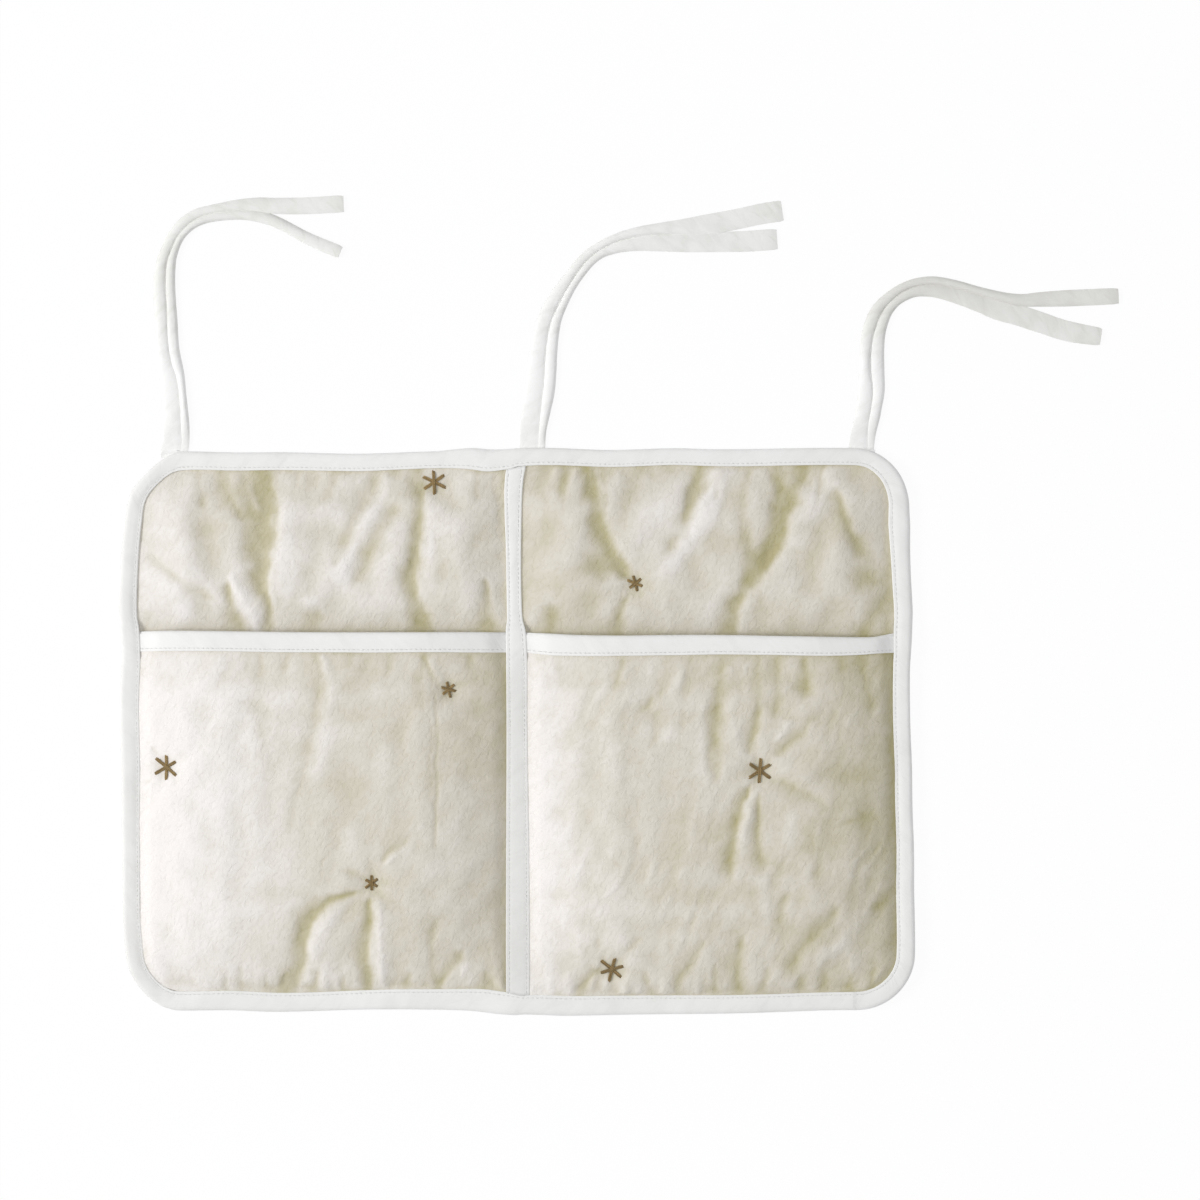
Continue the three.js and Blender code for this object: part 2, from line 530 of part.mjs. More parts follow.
// Where each tie lies on the table, from its pair's place on the top edge: across, up from
// the edge, and how far the tape is turned up onto its edge there, in degrees
const tieRoutes = {
  left: {
    outer: [
      [-4, 0, 20], [-2.8, 6, 32], [-2.5, 18.5, 36], [-3, 28, 30], [-4.1, 37.5, 33], [-5.4, 47, 40],
      [-7.6, 55, 48], [-9, 64, 55], [-9.8, 86, 60], [-10.9, 104, 60], [-10, 117, 64], [-7.7, 124.6, 67],
      [-1.3, 137.8, 67], [6, 145.6, 67], [13.4, 150, 70], [20, 151.9, 73], [27, 153.2, 72],
      [38, 154.8, 66], [51, 155.4, 57], [62, 154.8, 49], [79, 154.7, 43], [105.5, 156, 38],
    ],
    inner: [
      [4.3, 0, 24], [5.1, 6, 54], [4.9, 18.5, 74], [4.4, 28, 79], [3.4, 37.5, 78], [2, 47, 74],
      [-0.2, 55, 67], [-2.1, 64, 67], [-3.5, 86, 68], [-4.4, 104, 69], [-3.9, 117, 71], [-2.2, 124.6, 76],
      [2, 134.2, 79], [7.8, 140.7, 78], [13.8, 144.7, 75], [20.8, 147.2, 72], [31.8, 148.7, 71],
      [44.3, 149.2, 67], [56, 147, 67], [66, 143.1, 67], [84, 133.5, 65], [103.5, 125.2, 62],
    ],
  },
  centre: {
    outer: [
      [-0.7, 0, 18], [0.2, 12.5, 20], [1.3, 25, 28], [3, 37.5, 34], [4.2, 50, 38], [5.4, 62.5, 44],
      [8.8, 81, 52], [15, 94.4, 57], [23, 107.2, 65], [33.8, 121.4, 73], [41.4, 127.3, 76],
      [48.5, 131.6, 77], [57, 135.2, 75], [68, 138.2, 70], [80.5, 140, 62], [90.5, 140.9, 54],
      [99.3, 141.7, 46], [108.5, 142.6, 35], [118, 143.8, 21], [134, 147, 12], [147, 149.8, 11],
      [159.7, 151.7, 12],
    ],
    inner: [
      [7.2, 0, 52], [8, 12.5, 72], [9.8, 25, 70], [11.8, 37.6, 65], [12.8, 50, 65], [13.5, 63, 66],
      [16.3, 81, 70], [21.6, 93.6, 74], [28.3, 106.1, 76], [38.8, 119.7, 74], [45, 124.5, 72],
      [50.4, 127, 67], [57, 129.1, 61], [68, 130.9, 52], [80.4, 131.4, 42], [99.5, 131.3, 34],
      [118, 131.8, 26], [136, 132.3, 16], [156.5, 133.6, 10],
    ],
  },
  right: {
    outer: [
      [-1, 0, 18], [0.5, 12.5, 40], [2.8, 25, 48], [4.2, 37.5, 50], [3.6, 50, 66], [3.8, 62.5, 68],
      [5.2, 72.6, 64], [8.4, 83, 64], [12, 90, 68], [19, 97.2, 72], [27, 102.8, 74], [36, 106.2, 74],
      [47, 107.4, 74], [60, 105.3, 75], [78, 100.3, 76], [92, 96.7, 72], [103.5, 95, 64],
      [114, 95.5, 56], [131, 96.2, 48], [164, 97.6, 45],
    ],
    inner: [
      [6.8, 0, 52], [7.8, 12.5, 66], [10.2, 25, 68], [12, 37, 62], [11.2, 50, 54], [11.2, 63, 57],
      [12.6, 74, 63], [15.2, 82.5, 67], [18.6, 89, 71], [23.8, 94.7, 72], [31, 99, 70], [37, 100.9, 66],
      [47, 101.2, 58], [58, 99, 50], [75, 93.7, 37], [88, 89, 20], [100.5, 85.6, 11], [114.5, 81, 10],
      [127.5, 76.6, 11], [140, 73.8, 26], [153, 71.8, 42],
    ],
  },
};

// A flat tape laid along a route from its gathered root at the origin, its lower edge on the table
function tieTape(route, gather, aside) {
  const points = route.map(([across, up, turn]) => new THREE.Vector3(across, up, turn));
  const line = new THREE.CatmullRomCurve3(points, false, "centripetal");
  const [w, t] = [TIE_WIDTH / 2, TIE_THICKNESS / 2];
  const soft = TIE_THICKNESS * TIE_SOFTNESS;
  const section = [
    [-w, -t + soft], [-w + soft, -t], [w - soft, -t], [w, -t + soft],
    [w, t - soft], [w - soft, t], [-w + soft, t], [-w, t - soft],
  ];
  const openAt = (up) => gather + (1 - gather) * Math.min(1, up / GATHER_REACH);
  const frames = Array.from({ length: TIE_STEPS + 1 }, (_, i) => {
    const place = line.getPoint(i / TIE_STEPS);
    const ahead = line.getTangent(i / TIE_STEPS);
    const run = i === 0 ? new THREE.Vector2(0, 1) : new THREE.Vector2(ahead.x, ahead.y).normalize();
    const turn = THREE.MathUtils.degToRad(place.z);
    const [c, s] = [Math.cos(turn), Math.sin(turn)];
    const open = openAt(place.y);
    const height = w * open * s + t * c;
    return (u, v) => {
      const across = aside + u * open * c - v * s;
      return [place.x + run.y * across, place.y - run.x * across, height + u * open * s + v * c];
    };
  });
  return sweep(frames, section, false);
}

function addTies() {
  for (const [pair, x] of Object.entries(tiePlaces)) {
    const root = addPiece("tie_root_" + pair, new THREE.BoxGeometry(...rootSize), WHITE_COTTON, panel);
    root.position.set(...rootMiddle(x));
    for (const which of ["outer", "inner"]) {
      const aside = which === "inner" ? INNER_ASIDE : 0;
      const tape = tieTape(tieRoutes[pair][which], TAIL_GATHER[which], aside);
      const tie = addPiece("tie_" + pair + "_" + which, tape, WHITE_COTTON, organizer);
      tie.position.set(x, HALF_HEIGHT + TIE_ROOT_GAP, 0);
    }
  }
}

addBack();
addEdgeBinding();
addCentreTape();
addPocket("left", -1);
addPocket("right", 1);
addTies();

export default organizer;
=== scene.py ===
"""Looks for the quilted crib organizer: padded cloth, bindings, stitches, stars, ties and stage.

Tables of places are in millimetres on the frame's own axes, or in the photograph's pixels where
they say so. Meshes are built in millimetres and turned to metres once, in mesh_piece.
"""

import functools
import math
from types import SimpleNamespace

import bmesh
import bpy
import numpy as np
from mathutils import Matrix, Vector


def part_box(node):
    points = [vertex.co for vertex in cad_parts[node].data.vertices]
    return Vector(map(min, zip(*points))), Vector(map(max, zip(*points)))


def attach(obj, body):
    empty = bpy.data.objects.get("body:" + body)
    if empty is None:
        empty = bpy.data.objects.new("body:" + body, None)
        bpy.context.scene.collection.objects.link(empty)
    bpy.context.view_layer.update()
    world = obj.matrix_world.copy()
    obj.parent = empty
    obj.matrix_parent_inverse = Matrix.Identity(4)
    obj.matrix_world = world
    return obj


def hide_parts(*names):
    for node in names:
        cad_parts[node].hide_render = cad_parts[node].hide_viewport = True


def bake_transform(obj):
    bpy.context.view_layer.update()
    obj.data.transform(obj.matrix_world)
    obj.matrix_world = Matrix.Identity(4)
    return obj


bl_info = {
    "name": "Quilted crib organizer",
    "version": (1, 0, 0),
    "blender": (4, 5, 0),
    "location": "View3D > Sidebar > Organizer",
    "description": "Builds the cloth, trims, stitches and ties of a quilted crib organizer",
    "category": "Object",
}

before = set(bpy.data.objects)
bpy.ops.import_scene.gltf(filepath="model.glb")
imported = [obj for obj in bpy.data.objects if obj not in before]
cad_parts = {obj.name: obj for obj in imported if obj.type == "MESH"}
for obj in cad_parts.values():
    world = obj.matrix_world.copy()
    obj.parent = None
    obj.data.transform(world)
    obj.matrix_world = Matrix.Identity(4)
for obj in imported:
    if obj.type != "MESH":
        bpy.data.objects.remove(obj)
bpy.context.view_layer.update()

MM = 0.001

# The cut of the panel, as in the part's source
HALF_WIDTH = 250.0
HALF_HEIGHT = 177.5
CORNER_RADIUS = 36.0
BINDING_WIDTH = 11.0
COTTON = 0.8
LAYER_INSET = 1.5
SEAM_TOP = 4.8
EDGE_HEIGHT = 6.0
UPPER_RISE = 5.0
UPPER_EASE = 34.0
HALF_TAPE = 6.3
OPENING_TOP = HALF_HEIGHT - BINDING_WIDTH
OPENING_SIDE = HALF_WIDTH - BINDING_WIDTH
MOUTH_TOP = 62.5
MOUTH_WIDTH = 12.6
MOUTH_INNER = MOUTH_TOP - MOUTH_WIDTH
POCKET_INNER = 6.8
POCKET_INSET = 11.5
POCKET_BOTTOM = -166.0
POCKET_HOLLOW = 8.0
HOLLOW_EASE = 60.0
POCKET_LOFT = 6.0
POCKET_EASE = 34.0
FACE_TOP = MOUTH_TOP - LAYER_INSET
STITCH_INSET = 1.8
STITCH_PITCH = 3.0
HALF_STITCH = 1.15
STITCH_WIDTH = 0.55
STITCH_HEIGHT = 0.32
# The point of a folded binding's outline that its stitches sit on
STITCH_POINT = 15
# How much further a trim reaches where it laps over a pocket's edge
LAP_WIDTH = 0.95
# How far a fold is carried on under the seam that it reaches
UNDER_SEAM = 18.0
# How much less than whole the cloth is held away from its seams, and the most that it moves there
HELD_LESS = 0.86
FARTHEST_SETTLED = 3.0
# The share of the gathering setting that each face cloth is cut larger by, then how many frames
# it settles for and the pressure that it settles under
BACK_GATHERED = 0.6
POCKET_GATHERED = 0.3
SETTLING_FRAMES = 14
SETTLING_PRESSURE = 0.2
# Rows of the back's cloth behind the pockets and above them, its columns, and the rows and columns
# of a pocket's cloth, each before they are doubled
HIDDEN_ROWS = 26
UPPER_ROWS = 40
BACK_COLUMNS = 150
POCKET_ROWS = 88
POCKET_COLUMNS = 92
# Rows and columns of the layers under the face cloth of the back and of a pocket
BACK_UNDER = (60, 84)
POCKET_UNDER = (57, 59)
# Points along a tie, and steps round the rim for the binding and for placing its stitches
TIE_POINTS = 170
RIM_STEP = 2.4
FINE_RIM_STEP = 0.75
# The dullness of cotton that has no marks of its own
PLAIN_SHADE = 0.35
# A star whose arms span more than this is a large one
LARGE_STAR = 12.0

# The photograph's pixel over the middle of the panel, the size of one, and its whole width in
# metres, then the width of the camera's sensor
PHOTO_MIDDLE = (518, 731.5)
MM_PER_PIXEL = 0.6313
PHOTO_WIDTH = 0.7576
SENSOR = 36
# The place on the panel under the photograph's middle, and the level in metres at which the
# camera takes in the photograph's width
UNDER_CAMERA = (51.8, 83.0)
CAMERA_LEVEL = 0.006

# Each star: name, the side it is on, place across and up, span of its arms, turn in degrees
STARS = [
    ("star_upper_left", "back", -53.0, 157.5, 15.0, 4),
    ("star_upper_right", "back", 74.0, 93.5, 9.5, 10),
    ("star_pocket_left_rim", "left", -221.0, -22.1, 15.0, -6),
    ("star_pocket_left_top", "left", -43.3, 26.9, 9.5, 14),
    ("star_pocket_left_low", "left", -91.3, -94.5, 9.5, 2),
    ("star_pocket_right_middle", "right", 152.0, -24.1, 15.0, 0),
    ("star_pocket_right_low", "right", 59.3, -149.5, 15.0, -8),
]

# The ties' routes, as in the part's source: across and up from the pair's root, and how far the
# tape is turned up onto its edge there, in degrees
TIE_PLACES = {"left": -216.0, "centre": 7.5, "right": 216.0}
TIE_ROOT_Y = 177.8
TIE_ROUTES = {
    ("left", "outer"): [
        (-4, 0, 20), (-2.8, 6, 32), (-2.5, 18.5, 36), (-3, 28, 30), (-4.1, 37.5, 33), (-5.4, 47, 40),
        (-7.6, 55, 48), (-9, 64, 55), (-9.8, 86, 60), (-10.9, 104, 60), (-10, 117, 64),
        (-7.7, 124.6, 67), (-1.3, 137.8, 67), (6, 145.6, 67), (13.4, 150, 70), (20, 151.9, 73),
        (27, 153.2, 72), (38, 154.8, 66), (51, 155.4, 57), (62, 154.8, 49), (79, 154.7, 43),
        (105.5, 156, 38),
    ],
    ("left", "inner"): [
        (4.3, 0, 24), (5.1, 6, 54), (4.9, 18.5, 74), (4.4, 28, 79), (3.4, 37.5, 78), (2, 47, 74),
        (-0.2, 55, 67), (-2.1, 64, 67), (-3.5, 86, 68), (-4.4, 104, 69), (-3.9, 117, 71),
        (-2.2, 124.6, 76), (2, 134.2, 79), (7.8, 140.7, 78), (13.8, 144.7, 75), (20.8, 147.2, 72),
        (31.8, 148.7, 71), (44.3, 149.2, 67), (56, 147, 67), (66, 143.1, 67), (84, 133.5, 65),
        (103.5, 125.2, 62),
    ],
    ("centre", "outer"): [
        (-0.7, 0, 18), (0.2, 12.5, 20), (1.3, 25, 28), (3, 37.5, 34), (4.2, 50, 38), (5.4, 62.5, 44),
        (8.8, 81, 52), (15, 94.4, 57), (23, 107.2, 65), (33.8, 121.4, 73), (41.4, 127.3, 76),
        (48.5, 131.6, 77), (57, 135.2, 75), (68, 138.2, 70), (80.5, 140, 62), (90.5, 140.9, 54),
        (99.3, 141.7, 46), (108.5, 142.6, 35), (118, 143.8, 21), (134, 147, 12), (147, 149.8, 11),
        (159.7, 151.7, 12),
    ],
    ("centre", "inner"): [
        (7.2, 0, 52), (8, 12.5, 72), (9.8, 25, 70), (11.8, 37.6, 65), (12.8, 50, 65), (13.5, 63, 66),
        (16.3, 81, 70), (21.6, 93.6, 74), (28.3, 106.1, 76), (38.8, 119.7, 74), (45, 124.5, 72),
        (50.4, 127, 67), (57, 129.1, 61), (68, 130.9, 52), (80.4, 131.4, 42), (99.5, 131.3, 34),
        (118, 131.8, 26), (136, 132.3, 16), (156.5, 133.6, 10),
    ],
    ("right", "outer"): [
        (-1, 0, 18), (0.5, 12.5, 40), (2.8, 25, 48), (4.2, 37.5, 50), (3.6, 50, 66), (3.8, 62.5, 68),
        (5.2, 72.6, 64), (8.4, 83, 64), (12, 90, 68), (19, 97.2, 72), (27, 102.8, 74), (36, 106.2, 74),
        (47, 107.4, 74), (60, 105.3, 75), (78, 100.3, 76), (92, 96.7, 72), (103.5, 95, 64),
        (114, 95.5, 56), (131, 96.2, 48), (164, 97.6, 45),
    ],
    ("right", "inner"): [
        (6.8, 0, 52), (7.8, 12.5, 66), (10.2, 25, 68), (12, 37, 62), (11.2, 50, 54), (11.2, 63, 57),
        (12.6, 74, 63), (15.2, 82.5, 67), (18.6, 89, 71), (23.8, 94.7, 72), (31, 99, 70),
        (37, 100.9, 66), (47, 101.2, 58), (58, 99, 50), (75, 93.7, 37), (88, 89, 20), (100.5, 85.6, 11),
        (114.5, 81, 10), (127.5, 76.6, 11), (140, 73.8, 26), (153, 71.8, 42),
    ],
}
# Share of a tie's width that lies open in the seam, where the tape is folded together, and how
# far above the seam it is open all the way
TAIL_GATHER = {"outer": 0.92, "inner": 0.4}
GATHER_REACH = 24.0
# How high a tape curls up where it is turned, as a share of its half width, and how much higher
# its inner edge stays
CURL = 0.34
LEANING = 0.12

# Painted shade: how much duller each pair of ties is where it is turned up than where it lies flat
TURNED_PAINTED_SHADE = {"left": 0.0, "centre": -0.3, "right": 0.5}

# Where the sewn panel lies off its pattern, by straight line of the pattern: places along the
# line, and how far above it or to the right of it the real edge or seam is there
LEVEL_OFF = {
    HALF_HEIGHT: [
        (-214, -0.7), (-150, -1.0), (-100, -2.0), (-50, -0.4), (-28, 1.9), (0, 1.5), (60, 0.3),
        (120, 0.9), (190, 1.7),
    ],
    OPENING_TOP: [(-180, -1.8), (-100, -2.2), (-20, -2.7), (14, 1.7), (100, 1.9), (195, 1.7)],
    MOUTH_TOP: [(-225, 1.2), (-120, 0.3), (-20, 0.3), (20, -0.4), (70, -1.8), (160, -2.0), (225, -2.9)],
    MOUTH_INNER: [(-225, 1.0), (-120, 0.1), (-20, 0.1), (20, -1.9), (70, -1.9), (160, -1.2), (225, -0.6)],
    -OPENING_TOP: [(-180, 2.0), (-100, 2.4), (-20, 3.0), (14, -0.6), (100, -0.8), (200, 1.2)],
    -HALF_HEIGHT: [
        (-214, 1.0), (-160, 0.3), (-100, 1.6), (-50, 1.5), (-15, -1.1), (25, -2.3), (80, -1.4),
        (140, -0.7), (200, 1.3),
    ],
}
UPRIGHT_OFF = {
    -HALF_WIDTH: [(115, -0.6), (75, -2.2), (50, -0.2), (20, -1.6), (-30, -0.4), (-80, 0.2), (-130, 1.2)],
    -OPENING_SIDE: [(100, -1.0), (30, -0.8), (-60, -0.6), (-120, 0)],
    -HALF_TAPE: [(120, -1.5), (70, -0.6), (0, 0)],
    HALF_TAPE: [(130, -4.1), (100, -4.3), (72, -3.6), (45, -1.5), (0, -1.2), (-80, 0)],
    OPENING_SIDE: [(130, -5.4), (90, -2.5), (70, -1.5), (30, -1.6), (-20, -0.4), (-75, 0.8), (-130, 1.0)],
    HALF_WIDTH: [(130, -1.8), (75, -0.3), (40, -2.3), (0, -1.9), (-50, -0.6), (-100, 0.4), (-140, 1.0)],
}
# The same at corners and at the tape's ends: a place, and how far across and up it is off
ENDS_OFF = [
    (-239.5, 166.9, 4.2, -4.2), (-228, 174.5, 3.0, -3.0), (-247.5, 152, 3.6, -1.5),
    (239.5, 166.9, -0.6, -0.8), (-239.5, -166.9, 2.6, 2.6), (239.5, -166.9, -0.2, 0.8),
    (-231.7, 159.2, 3.5, -3.5),
    (231.7, 159.2, -2.2, -0.7), (221, 165.6, -0.8, 1.2), (236.3, 152.9, -4.4, 0.5),
    (-231.7, -159.2, 2.4, 2.4), (231.7, -159.2, 0, 1.2), (-HALF_TAPE, 160, -2.2, -1.5),
    (-HALF_TAPE, -160, -0.3, 2), (HALF_TAPE, 160, -2.8, 1.0), (HALF_TAPE, -160, 0.2, -0.4),
]

# Creases and ridges of the cloth: pixels of the photograph that each runs through, with half its
# width there in millimetres, then its height (below zero for a crease) and how much broader its
# left side is
BACK_FOLDS = [
    ([(256, 462, 9), (260, 485, 11), (261, 510, 11.5), (260, 535, 10), (261, 560, 7.5), (265, 588, 4.2),
      (269, 612, 3.6), (271, 636, 4.2)], -3.6, 0.3),
    ([(270, 478, 3), (276, 500, 3.2), (276, 525, 3), (270, 555, 3)], -1.2, 0.5),
    ([(250, 480, 3), (256, 500, 3.2), (262, 522, 2.6)], 1.5, 0),
    ([(290, 492, 7), (288, 530, 8), (286, 570, 8), (290, 610, 8)], 1.6, -0.4),
    ([(228, 578, 1.6), (231, 600, 3.6), (236, 618, 5.5), (239, 638, 7)], -2.8, 0.25),
    ([(230, 570, 1.6), (240, 592, 3.2), (252, 612, 3.6), (258, 636, 3.6)], 2, 0),
    ([(421, 470, 4), (421, 495, 4.6), (419, 520, 4.4), (417, 545, 4.2), (412, 570, 4.6), (414, 592, 4.6),
      (421, 612, 6), (424, 636, 8)], -3.1, 0.35),
    ([(436, 492, 5), (434, 525, 5.5), (430, 560, 5.5), (432, 590, 5)], 1.4, -0.4),
    ([(486, 576, 1.4), (487, 600, 3.4), (489, 618, 5), (490, 638, 6.4)], -2.8, 0.2),
    ([(501, 470, 3), (502, 500, 3.4), (504, 545, 2.4)], -1.8, 0),
    ([(478, 468, 2.4), (477, 490, 2.6), (482, 508, 2)], -1.2, 0),
    ([(376, 476, 3), (358, 512, 5), (342, 545, 5), (332, 575, 3)], -1.2, 0.1),
    ([(402, 500, 3), (380, 535, 5.5), (366, 562, 5.5), (348, 594, 4)], -1.5, 0.1),
    ([(195, 464, 3), (200, 490, 3.5), (206, 512, 2)], -1.4, 0),
    ([(217, 464, 3), (226, 488, 3.5), (238, 510, 3), (247, 530, 2.4)], -1.8, 0.1),
    ([(292, 464, 3), (288, 488, 2)], -1.2, 0),
    ([(336, 466, 6), (330, 492, 5), (322, 510, 3)], -1.3, 0),
    ([(396, 468, 7), (400, 490, 6), (406, 508, 3)], -1.5, 0),
    ([(140, 548, 2.2), (168, 573, 3), (196, 590, 3.4), (222, 606, 2.6)], -1.2, 0.1),
    ([(318, 600, 3), (314, 618, 6), (310, 638, 9)], -1.6, 0),
    ([(212, 500, 10), (208, 530, 13), (215, 555, 9)], -0.8, 0),
    ([(144, 606, 2), (148, 636, 3.4)], -1.2, 0),
    ([(160, 520, 8), (170, 550, 9)], 0.8, 0),
    ([(170, 606, 7), (200, 622, 8)], 0.7, 0),
    ([(312, 590, 6), (310, 615, 5)], 0.8, 0),
    ([(392, 484, 3), (366, 530, 4), (350, 560, 4), (334, 590, 4)], 0.8, 0),
    ([(400, 530, 6), (390, 570, 8), (365, 600, 6)], 0.8, 0),
    ([(588, 474, 5), (596, 505, 6), (600, 530, 5.4), (612, 552, 4.6), (626, 572, 3.4),
      (633, 582, 2.6)], -3.2, 0.1),
    ([(600, 545, 9), (598, 568, 12), (604, 588, 10)], -2, 0),
    ([(630, 592, 2.4), (621, 608, 3.8), (618, 622, 4.2), (618, 640, 4.6)], -2.7, 0.2),
    ([(702, 462, 4), (693, 486, 4.6), (687, 508, 4), (683, 530, 3.2)], -2.9, -0.1),
    ([(683, 530, 3), (670, 545, 4), (660, 560, 4.6)], -1.6, 0),
    ([(660, 474, 12), (668, 492, 10)], -1, 0),
    ([(722, 470, 5), (708, 505, 6), (692, 538, 6), (672, 565, 6), (655, 590, 6)], 2, -0.1),
    ([(746, 480, 4), (742, 515, 4.6), (748, 545, 4.6), (744, 575, 5)], -1.2, 0),
    ([(806, 464, 5), (795, 490, 5.6), (784, 515, 6), (776, 540, 6), (764, 562, 6), (748, 586, 6),
      (736, 608, 5.6), (728, 640, 6)], -3.2, 0.3),
    ([(834, 462, 5), (818, 490, 7), (802, 525, 7), (790, 555, 8), (775, 590, 9), (760, 620, 8)], 1.4, -0.3),
    ([(835, 484, 3.2), (843, 515, 4.6), (850, 536, 5), (864, 550, 6), (886, 562, 8)], -2.4, 0.2),
    ([(876, 560, 8), (870, 582, 10), (880, 600, 8)], -1.6, 0),
    ([(886, 590, 3), (877, 612, 3.4), (868, 626, 4.4), (864, 640, 5.4)], -2.4, 0.3),
    ([(776, 460, 3.4), (779, 486, 3.4), (778, 502, 2)], -1.8, 0),
    ([(565, 460, 3.4), (563, 484, 3.8), (562, 504, 2)], -1.9, 0),
    ([(601, 460, 2.4), (604, 480, 2)], -1.3, 0),
    ([(640, 460, 4), (641, 488, 4)], -1.4, 0),
    ([(545, 470, 5), (545, 510, 6), (548, 540, 4)], -0.8, 0),
    ([(722, 462, 3), (718, 480, 2)], -1, 0),
    ([(825, 462, 2.4), (822, 476, 1.6)], -1, 0),
    ([(550, 596, 2.4), (549, 616, 4), (549, 640, 5)], -1.9, 0),
    ([(888, 520, 2), (889, 580, 3), (888, 636, 3)], -1.5, 0),
]
LEFT_FOLDS = [
    ([(366, 886, 2), (346, 892, 3), (325, 903, 4.4), (310, 921, 6), (304, 941, 6.4), (302, 958, 6),
      (295, 976, 5.4), (288, 1000, 5.4)], -3.3, 0.4),
    ([(352, 900, 4), (332, 918, 4.6), (320, 938, 4.6), (314, 962, 4)], 1.7, -0.2),
    ([(372, 892, 1.8), (370, 918, 3.6), (368, 940, 4.6), (367, 965, 4.6), (369, 1000, 4.4)], -2.7, 0.4),
    ([(381, 893, 2), (382, 930, 3), (383, 985, 3)], 1.7, -0.2),
    ([(322, 960, 2), (317, 980, 3.4), (312, 1000, 4.6)], -2.2, 0.2),
    ([(466, 944, 2), (452, 966, 3), (441, 984, 3.4), (436, 1000, 3.4)], -2.4, 0.2),
    ([(470, 956, 3), (458, 975, 3)], 1, 0),
    ([(436, 910, 2.4), (434, 950, 2.6), (436, 990, 2.4)], -1.1, 0),
    ([(437, 688, 1), (438, 760, 1.1), (437, 850, 1)], -0.9, 0),
    ([(431, 690, 1), (432, 760, 1), (431, 800, 1)], -0.5, 0),
    ([(384, 866, 1.4), (396, 857, 2.6), (420, 838, 4.6)], 1.2, -0.3),
    ([(380, 862, 1.6), (394, 848, 3.4), (420, 826, 5.6)], -1, 0),
    ([(356, 862, 6), (352, 880, 5)], -1.2, 0),
    ([(318, 656, 3), (322, 680, 3.6), (320, 706, 3.6), (314, 740, 4), (306, 770, 4), (296, 810, 3.6),
      (288, 836, 3)], -0.9, 0.2),
    ([(324, 655, 2.6), (334, 684, 4), (331, 716, 4.4), (326, 752, 4.4), (318, 792, 4)], 0.9, -0.2),
    ([(262, 660, 4), (262, 700, 5), (262, 750, 4)], -0.8, 0),
    ([(246, 690, 6), (246, 760, 7), (250, 830, 6)], 0.5, 0),
    ([(430, 664, 1.6), (436, 676, 2.4), (444, 684, 2.4)], -1.8, 0.2),
    ([(424, 655, 3), (422, 690, 4), (426, 720, 3)], -0.9, 0),
    ([(142, 738, 1.6), (154, 748, 1.8), (163, 758, 1.8)], -1.5, 0),
    ([(142, 781, 1.6), (158, 780, 1.6)], -1.2, 0),
    ([(282, 1000, 3.4), (284, 982, 3), (290, 966, 1.6)], -1.8, 0),
    ([(262, 1000, 3.6), (265, 984, 3), (268, 966, 1.6)], -1.8, 0),
    ([(238, 1000, 3.2), (241, 982, 2.6), (243, 962, 1.4)], -1.5, 0),
    ([(222, 1000, 3), (226, 985, 2), (228, 972, 1.2)], -1.2, 0),
    ([(345, 1000, 3), (344, 984, 2), (346, 968, 1.2)], -1.4, 0),
    ([(402, 1000, 3), (407, 984, 2.4), (411, 966, 1.4)], -1.5, 0),
    ([(484, 1000, 3), (483, 984, 2.4), (484, 966, 1.4)], -1.2, 0),
    ([(196, 1000, 3), (199, 986, 2)], -0.8, 0),
    ([(330, 1000, 3), (333, 984, 2)], -1.2, 0),
    ([(250, 652, 3), (247, 676, 2.4)], -1, 0),
    ([(290, 652, 3.2), (285, 680, 2.4)], -1.1, 0),
    ([(470, 652, 3), (468, 674, 2)], -1, 0),
    ([(180, 652, 3), (184, 672, 2)], -0.6, 0),
    ([(352, 652, 3), (350, 676, 2)], -0.8, 0),
    ([(392, 652, 3), (389, 680, 2)], -0.8, 0),
    ([(345, 740, 8), (352, 790, 9), (350, 830, 7)], -0.7, 0),
    ([(395, 700, 7), (400, 760, 8)], -0.5, 0),
    ([(460, 720, 8), (462, 780, 8)], -0.7, 0),
    ([(462, 810, 8), (440, 860, 9), (430, 900, 8)], 0.7, 0),
]
